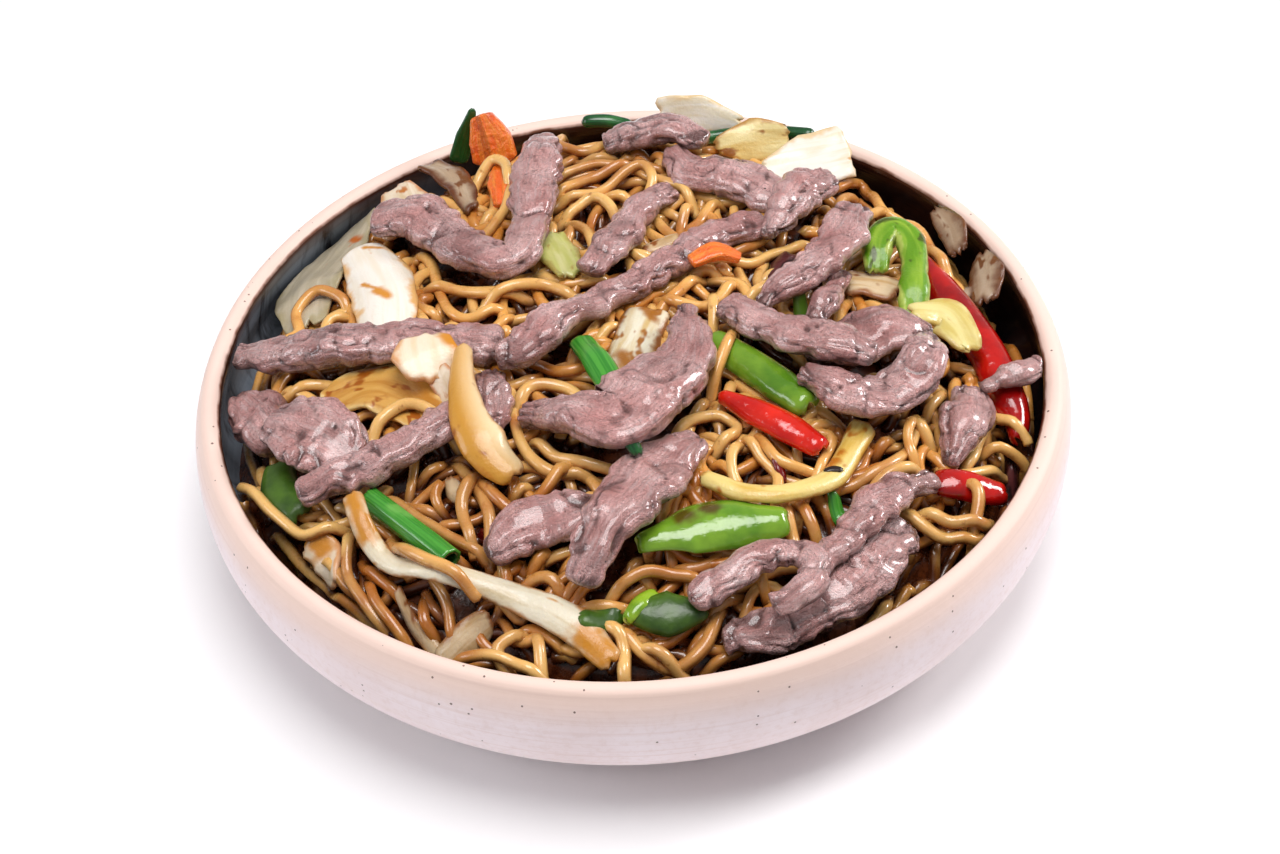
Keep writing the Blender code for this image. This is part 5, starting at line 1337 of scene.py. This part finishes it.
class Heap:
    """Height maps of what lies in the bowl, on which noodles are laid one after another."""

    def __init__(self, trees):
        places = (np.arange(MAP_CELLS) + 0.5) * CELL - MAP_REACH
        self.x, self.y = np.meshgrid(places, places, indexing="ij")
        flat = np.column_stack([self.x.ravel(), self.y.ravel(), np.zeros(self.x.size)]) / PIT_SIZE
        pits = PIT_DEPTH * np.clip(noise(flat, 21).reshape(self.x.shape), 0, 1)
        self.ground = heap_height(self.x, self.y) - CORE_DEPTH - pits
        self.base = self.ground.copy()
        self.toppings = {node: self.read_topping(node, tree) for node, tree in trees}
        self.ceiling, self.roof = self.ceiling_and_roof()
        self.buried = self.far_inside(self.ceiling < NO_CEILING)
        self.rows, self.cols, self.rises = disc(NOODLE_RADIUS)

    def read_topping(self, node, tree):
        """The cells over a topping, with the heights of its top and its underside."""
        first, last = cells_of(np.array(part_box(node))[:, :2] / MILLIMETRE)
        found = []
        for i, j in itertools.product(range(first[0], last[0] + 1), range(first[1], last[1] + 1)):
            x, y = self.x[i, j], self.y[i, j]
            top = surface_height(tree, x, y)
            if not math.isnan(top):
                found.append((i, j, top, surface_height(tree, x, y, looking_down=False)))
        rows, cols, tops, lows = np.array(found).T
        return rows.astype(int), cols.astype(int), tops, lows

    def ceiling_and_roof(self, over=()):
        """Maps of the toppings' lowest undersides and highest tops. A noodle that lies over some of
        them has only those as its roof to lie on, and only the others as its ceiling."""
        ceiling = np.full(self.x.shape, NO_CEILING)
        roof = np.full(self.x.shape, -NO_CEILING)
        for node, (rows, cols, tops, lows) in self.toppings.items():
            if node not in over:
                ceiling[rows, cols] = np.minimum(ceiling[rows, cols], lows)
            if node in over or not over:
                roof[rows, cols] = np.maximum(roof[rows, cols], tops)
        return ceiling, roof

    @staticmethod
    def far_inside(covered):
        """The covered cells that lie further than a margin from any open one."""
        for _ in range(int(BURIED_MARGIN / CELL)):
            inner = covered.copy()
            inner[1:] &= covered[:-1]
            inner[:-1] &= covered[1:]
            inner[:, 1:] &= covered[:, :-1]
            inner[:, :-1] &= covered[:, 1:]
            covered = inner
        return covered

    def cells_under(self, plan):
        """For each place on a noodle's route, the cells that the noodle covers."""
        cells = cells_of(plan)
        return cells[:, :1] + self.rows, cells[:, 1:] + self.cols

    def settled(self, plan, over):
        """Heights of a noodle's axis along a route, and the room it has under the toppings."""
        ground, ceiling = self.ground, self.ceiling
        if over:
            ceiling, roof = self.ceiling_and_roof(over)
            ground = np.maximum(ground, roof)
        cells = self.cells_under(plan)
        needed = (ground[cells] + self.rises).max(axis=1) - SINK
        limit = (ceiling[cells] - self.rises).min(axis=1) - TOPPING_CLEARANCE
        limit = -draped(-limit, DIVE_BEND)
        return softened(np.minimum(draped(needed, NOODLE_BEND), limit), PATH_SOFTENING), limit - needed

    def lay(self, path):
        """Raises the ground to the top of a noodle."""
        np.maximum.at(self.ground, self.cells_under(path[:, :2]), path[:, 2:3] + self.rises)


def over_core(path):
    """How far each point of a path lies over the part's core."""
    return path[:, 2] - heap_height(path[:, 0], path[:, 1])


def draped(heights, bend):
    """The lowest curve over some heights, a millimetre apart, that bends no tighter than a radius."""
    reach = int(3 * math.sqrt(2 * bend * NOODLE_RADIUS))
    offsets = np.arange(-reach, reach + 1)
    windows = np.lib.stride_tricks.sliding_window_view(np.pad(heights, reach, mode="edge"), 2 * reach + 1)
    return (windows - offsets**2 / (2 * bend)).max(axis=1)


def runs_of(keep):
    """The stretches of places that are kept, as pairs of first and last."""
    padded = np.concatenate([[False], keep, [False]])
    edges = np.flatnonzero(padded[1:] != padded[:-1])
    return list(zip(edges[::2], edges[1::2]))


def settle_route(heap, plan, over=(), level=None):
    """The stretches of a noodle that fit, each as a path of points a millimetre apart."""
    height, room = heap.settled(plan, over)
    cells = cells_of(plan)
    hidden = heap.buried[cells[:, 0], cells[:, 1]] & (not over)
    path = np.column_stack([plan, height])
    keep = (room > TIGHTEST) & ~hidden
    if level is not None:
        keep &= over_core(path) < level + LEVEL_SLACK
    shortest = SHORTEST_RUN if level is None else SHORTEST_FILL
    return [path[first:last] for first, last in runs_of(keep) if last - first >= shortest]


def dipped(path):
    """A path whose two ends sink among the other noodles."""
    along = distances(path)
    from_end = np.minimum(along, along[-1] - along)
    path = path.copy()
    path[:, 2] -= END_DIP * (1 - smooth_step(from_end / END_DIP_LENGTH))
    return path


def within_wall(plan):
    """A route whose places beyond a noodle's reach are moved in to it."""
    reach = np.hypot(plan[:, 0], plan[:, 1])
    return plan * np.minimum(1.0, NOODLE_REACH / np.maximum(reach, 1.0))[:, None]


def wandering_route(draw, by_wall):
    """A noodle's plan that swings to and fro in wide curls, and turns back from the wall."""
    reach = NOODLE_REACH * math.sqrt(draw.random())
    turn = draw.uniform(0, 2 * math.pi)
    heading = draw.uniform(0, 2 * math.pi)
    length = draw.uniform(*ROUTE_LENGTHS)
    if by_wall:
        reach = NOODLE_REACH - draw.uniform(0.0, WALL_STRIP)
        heading = turn + math.pi / 2 + draw.uniform(*WALL_HEADINGS)
        length = draw.uniform(*WALL_ROUTE_LENGTHS)
    x, y = reach * math.cos(turn), reach * math.sin(turn)
    swings = [(draw.uniform(*sizes), draw.uniform(*waves), draw.uniform(*SWING_STARTS))
              for sizes, waves in SWINGS]
    drift = draw.gauss(0, ROUTE_DRIFT)
    route = []
    for step in range(int(length)):
        swing = sum(size * math.sin(2 * math.pi * step / wave + start) for size, wave, start in swings)
        angle = heading + swing
        dx, dy = math.cos(angle), math.sin(angle)
        reach = math.hypot(x, y)
        outward = (x * dx + y * dy) / max(reach, 1.0)
        if reach > NOODLE_REACH - TURN_BACK_FROM and outward > HEADS_IN:
            side = math.copysign(1.0, x * dy - y * dx)
            closer = max(0.0, reach - NOODLE_REACH + TURN_MORE_FROM)
            heading += side * (TURN_BACK + TURN_MORE * closer / TURN_MORE_FROM)
        x, y = x + dx, y + dy
        reach = math.hypot(x, y)
        if reach > NOODLE_REACH:
            x, y = x * NOODLE_REACH / reach, y * NOODLE_REACH / reach
        heading += drift
        route.append((x, y))
    return np.array(route)


def beside(plan, distance):
    """A route that runs beside another."""
    forward = directions(plan)
    return within_wall(plan + np.column_stack([-forward[:, 1], forward[:, 0]]) * distance[:, None])


def drawn_out(plan, reach):
    """A route that runs straight on past both its ends."""
    steps = np.arange(1, reach + 1)[:, None]
    before = plan[0] + (plan[0] - plan[2]) / 2 * steps[::-1]
    after = plan[-1] + (plan[-1] - plan[-3]) / 2 * steps
    return np.vstack([before, plan, after])


def fill_level(heap, noodles, level, tries, draw, by_wall=False):
    """Lays seeded noodles in bunches wherever the heap is still lower than a level."""
    for _ in range(tries):
        plan = wandering_route(draw, by_wall)
        apart, fan = 0.0, draw.uniform(*FAN)
        for _ in range(draw.choice(BUNCH_SIZES)):
            strand = beside(plan, apart + fan * np.arange(len(plan)) * apart) if apart else plan
            for path in settle_route(heap, strand, level=level):
                if over_core(path).mean() > level:
                    continue
                path = dipped(path)
                heap.lay(path)
                noodles.append((path, draw.random(), draw.uniform(NOODLE_THINNEST, NOODLE_THICKEST)))
            apart += 2 * NOODLE_RADIUS + draw.uniform(*BUNCH_GAPS)


def all_noodles(heap):
    """The axis, tone and thickness of every noodle, from the lowest to the topmost."""
    draw = random.Random(5)
    noodles = []
    for level, tries in LOW_PASSES:
        fill_level(heap, noodles, level, tries, draw)
    for level, tries in WALL_PASSES:
        fill_level(heap, noodles, level, tries, draw, by_wall=True)
    for over, route in SEEN_NOODLES:
        plan = within_wall(drawn_out(spaced_curve(route, 1.0), SEEN_OVERRUN))
        for path in settle_route(heap, plan, over):
            path = dipped(path)
            heap.lay(path)
            tone = draw.uniform(0.0, SEEN_DARKEST)
            noodles.append((path, tone, draw.uniform(SEEN_THINNEST, NOODLE_THICKEST)))
    for level, tries in TOP_PASSES:
        fill_level(heap, noodles, level, tries, draw)
    return noodles


def noodle_mesh(path, thickness, seed):
    """A noodle round its path: nearly round, a little squared, and uneven along its length. Returns its
    points, the number of its rings and how far each point faces up."""
    along = distances(path)
    count = max(5, round(along[-1] / NOODLE_STATION) + 1)
    places = np.linspace(0, along[-1], count)
    path = np.stack([np.interp(places, along, column) for column in path.T], axis=1)
    forward = directions(path)
    side = unit_rows(np.stack([-forward[:, 1], forward[:, 0], np.zeros(count)], axis=1))
    up = np.cross(forward, side)
    twist = NOODLE_TWIST * np.sin(places / TWIST_LENGTH + seed)
    angle = np.arange(NOODLE_SIDES) * (2 * math.pi / NOODLE_SIDES) + twist[:, None]
    square = 1.0 + NOODLE_SQUARENESS * np.cos(4 * (angle - twist[:, None]))
    size = NOODLE_RADIUS * thickness * (1.0 + NOODLE_UNEVEN * np.sin(places / UNEVEN_LENGTH + 2 * seed))
    radius = size[:, None] * square
    rings = (path[:, None] + (radius * np.cos(angle))[..., None] * side[:, None]
             + (radius * np.sin(angle))[..., None] * up[:, None])
    ends = path[[0, -1]] + forward[[0, -1]] * np.array([[-NOODLE_TIP], [NOODLE_TIP]]) * size[0]
    return np.vstack([rings.reshape(-1, 3), ends]), count, np.append(np.sin(angle).ravel(), [0.0, 0.0])


def in_batches(noodles):
    """The noodles' meshes with their tones, in lists that each make a mesh small enough to keep."""
    batches, triangles = [[]], 0
    for seed, (path, tone, thickness) in enumerate(noodles):
        points, count, facing = noodle_mesh(path, thickness, seed)
        batches[-1].append((points, count, tone, facing))
        triangles += 2 * NOODLE_SIDES * count
        if triangles > PIECE_TRIANGLES:
            batches.append([])
            triangles = 0
    return batches


def add_noodles(noodles, material):
    """The noodles as a few joined meshes."""
    for number, batch in enumerate(in_batches(noodles), 1):
        firsts = np.cumsum([0] + [len(points) for points, *_ in batch])
        faces = [tube_faces(count, NOODLE_SIDES, first) for (_, count, *_), first in zip(batch, firsts)]
        points = np.vstack([points for points, *_ in batch])
        tones = np.concatenate([np.full(len(points), tone) for points, _, tone, _ in batch])
        facing = np.concatenate([facing for *_, facing in batch])
        # How deep under the heap's top each point lies, for painted shade.
        light_to = heap_height(points[:, 0], points[:, 1]) + DARK_START
        depth = np.clip((light_to - points[:, 2]) / DARK_DEPTH, 0, 1)
        piece = add_mesh(f"noodles_{number}", points, map(np.concatenate, zip(*faces)), material,
                         {"tone": tones, "depth": depth, "facing": facing})
        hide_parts("noodle_heap")


def add_core(heap):
    """The sauced noodles packed under the loose ones, out to the glaze, dark brown as sauce and as painted
    shade in the gaps.
    """
    angles = np.arange(CORE_SEGMENTS) * (2 * math.pi / CORE_SEGMENTS)
    radii = np.linspace(0, CORE_RADIUS, CORE_RINGS + 1)[1:]
    plan = np.stack([np.outer(radii, np.cos(angles)), np.outer(radii, np.sin(angles))], axis=2)
    plan = plan.reshape(-1, 2)
    cells = cells_of(plan)
    heights = heap.base[cells[:, 0], cells[:, 1]]
    low = []
    for share, height in CORE_UNDERSIDE:
        radius = share * radii[-1]
        low.append(np.column_stack([radius * np.cos(angles), radius * np.sin(angles),
                                    np.full(CORE_SEGMENTS, height)]))
    ends = [[0, 0, heights[0]], [0, 0, CORE_UNDERSIDE[-1][1]]]
    points = np.vstack([np.column_stack([plan, heights])] + low + [ends])
    faces = tube_faces(CORE_RINGS + len(CORE_UNDERSIDE), CORE_SEGMENTS)
    piece = add_mesh("sauce_and_shade_core", points, faces, sauce_and_shade_finish())
    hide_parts("noodle_heap")


def add_small_bits(heap, finishes):
    """Small bits laid on the noodles, a little sunk between them."""
    surface = np.maximum(heap.ground, heap.roof)
    for number, piece in enumerate(SMALL_BITS, 1):
        plan = spaced_curve(piece.route, LINE_STEP)
        widths = table_at(piece.widths, len(plan))
        levels = []
        for cells in map(cells_of, rows_across(plan, widths)):
            level = softened(surface[cells[:, 0], cells[:, 1]], BITS_SOFTENING)
            levels.append(level + piece.thick / 2 - BITS_SUNK)
        line = sloped_line(plan, widths, levels, np.full(len(plan), piece.thick))
        name = f"small_bit_{number:02d}"
        add_food(name, SPOTS.get(name, ()), piece, line, FIRST_BIT_SEED + number, finishes)


# Studio

def add_light(name, place, size, power, colour):
    """A soft round light that looks at the bowl."""
    data = bpy.data.lights.new(name, "AREA")
    data.shape = "ELLIPSE"
    data.size, data.size_y = size
    data.energy = power
    data.color = colour
    light = bpy.data.objects.new(name, data)
    light.location = place
    light.rotation_euler = (Vector(LIT_PLACE) - Vector(place)).to_track_quat("-Z", "Y").to_euler()
    bpy.context.scene.collection.objects.link(light)


def add_studio():
    """A pale floor, a pale sky and the lights."""
    mesh = bpy.data.meshes.new("floor")
    corners = [(x * FLOOR_REACH, y * FLOOR_REACH, 0) for x, y in ((-1, -1), (1, -1), (1, 1), (-1, 1))]
    mesh.from_pydata(corners, [], [(0, 1, 2, 3)])
    made = Finish("floor")
    made.set(Base_Color=paint(250, 250, 250), Roughness=0.8, Specular_IOR_Level=0.1)
    mesh.materials.append(made.material)
    floor = bpy.data.objects.new("floor", mesh)
    scene = bpy.context.scene
    scene.collection.objects.link(floor)
    world = bpy.data.worlds.new("studio")
    world.use_nodes = True
    sky = world.node_tree.nodes["Background"].inputs
    sky["Color"].default_value = SKY_COLOUR
    sky["Strength"].default_value = SKY_STRENGTH
    scene.world = world
    scene.view_settings.view_transform = "Standard"
    for light in LIGHTS:
        add_light(*light)


def add_camera():
    """The camera of the photo, rolled a little as the photo was."""
    place = Vector(CAMERA_PLACE) * MILLIMETRE
    back = (place - Vector(CAMERA_TARGET) * MILLIMETRE).normalized()
    right = Vector((0, 0, 1)).cross(back).normalized()
    top = back.cross(right)
    c, s = math.cos(math.radians(CAMERA_ROLL)), math.sin(math.radians(CAMERA_ROLL))
    right, top = c * right + s * top, c * top - s * right
    data = bpy.data.cameras.new("camera")
    data.lens = CAMERA_LENS
    data.sensor_width = CAMERA_SENSOR
    data.clip_start, data.clip_end = 0.01, 20.0
    camera = bpy.data.objects.new("camera", data)
    camera.matrix_world = Matrix((right, top, back)).transposed().to_4x4()
    camera.location = place
    bpy.context.scene.collection.objects.link(camera)
    bpy.context.scene.camera = camera


def build():
    """Toppings come before noodles, which are laid on them, and small bits come last."""
    finishes = all_finishes()
    add_bowl()
    heap = Heap(add_toppings(finishes))
    add_core(heap)
    add_noodles(all_noodles(heap), noodle_finish())
    add_small_bits(heap, finishes)
    add_studio()
    add_camera()


build()
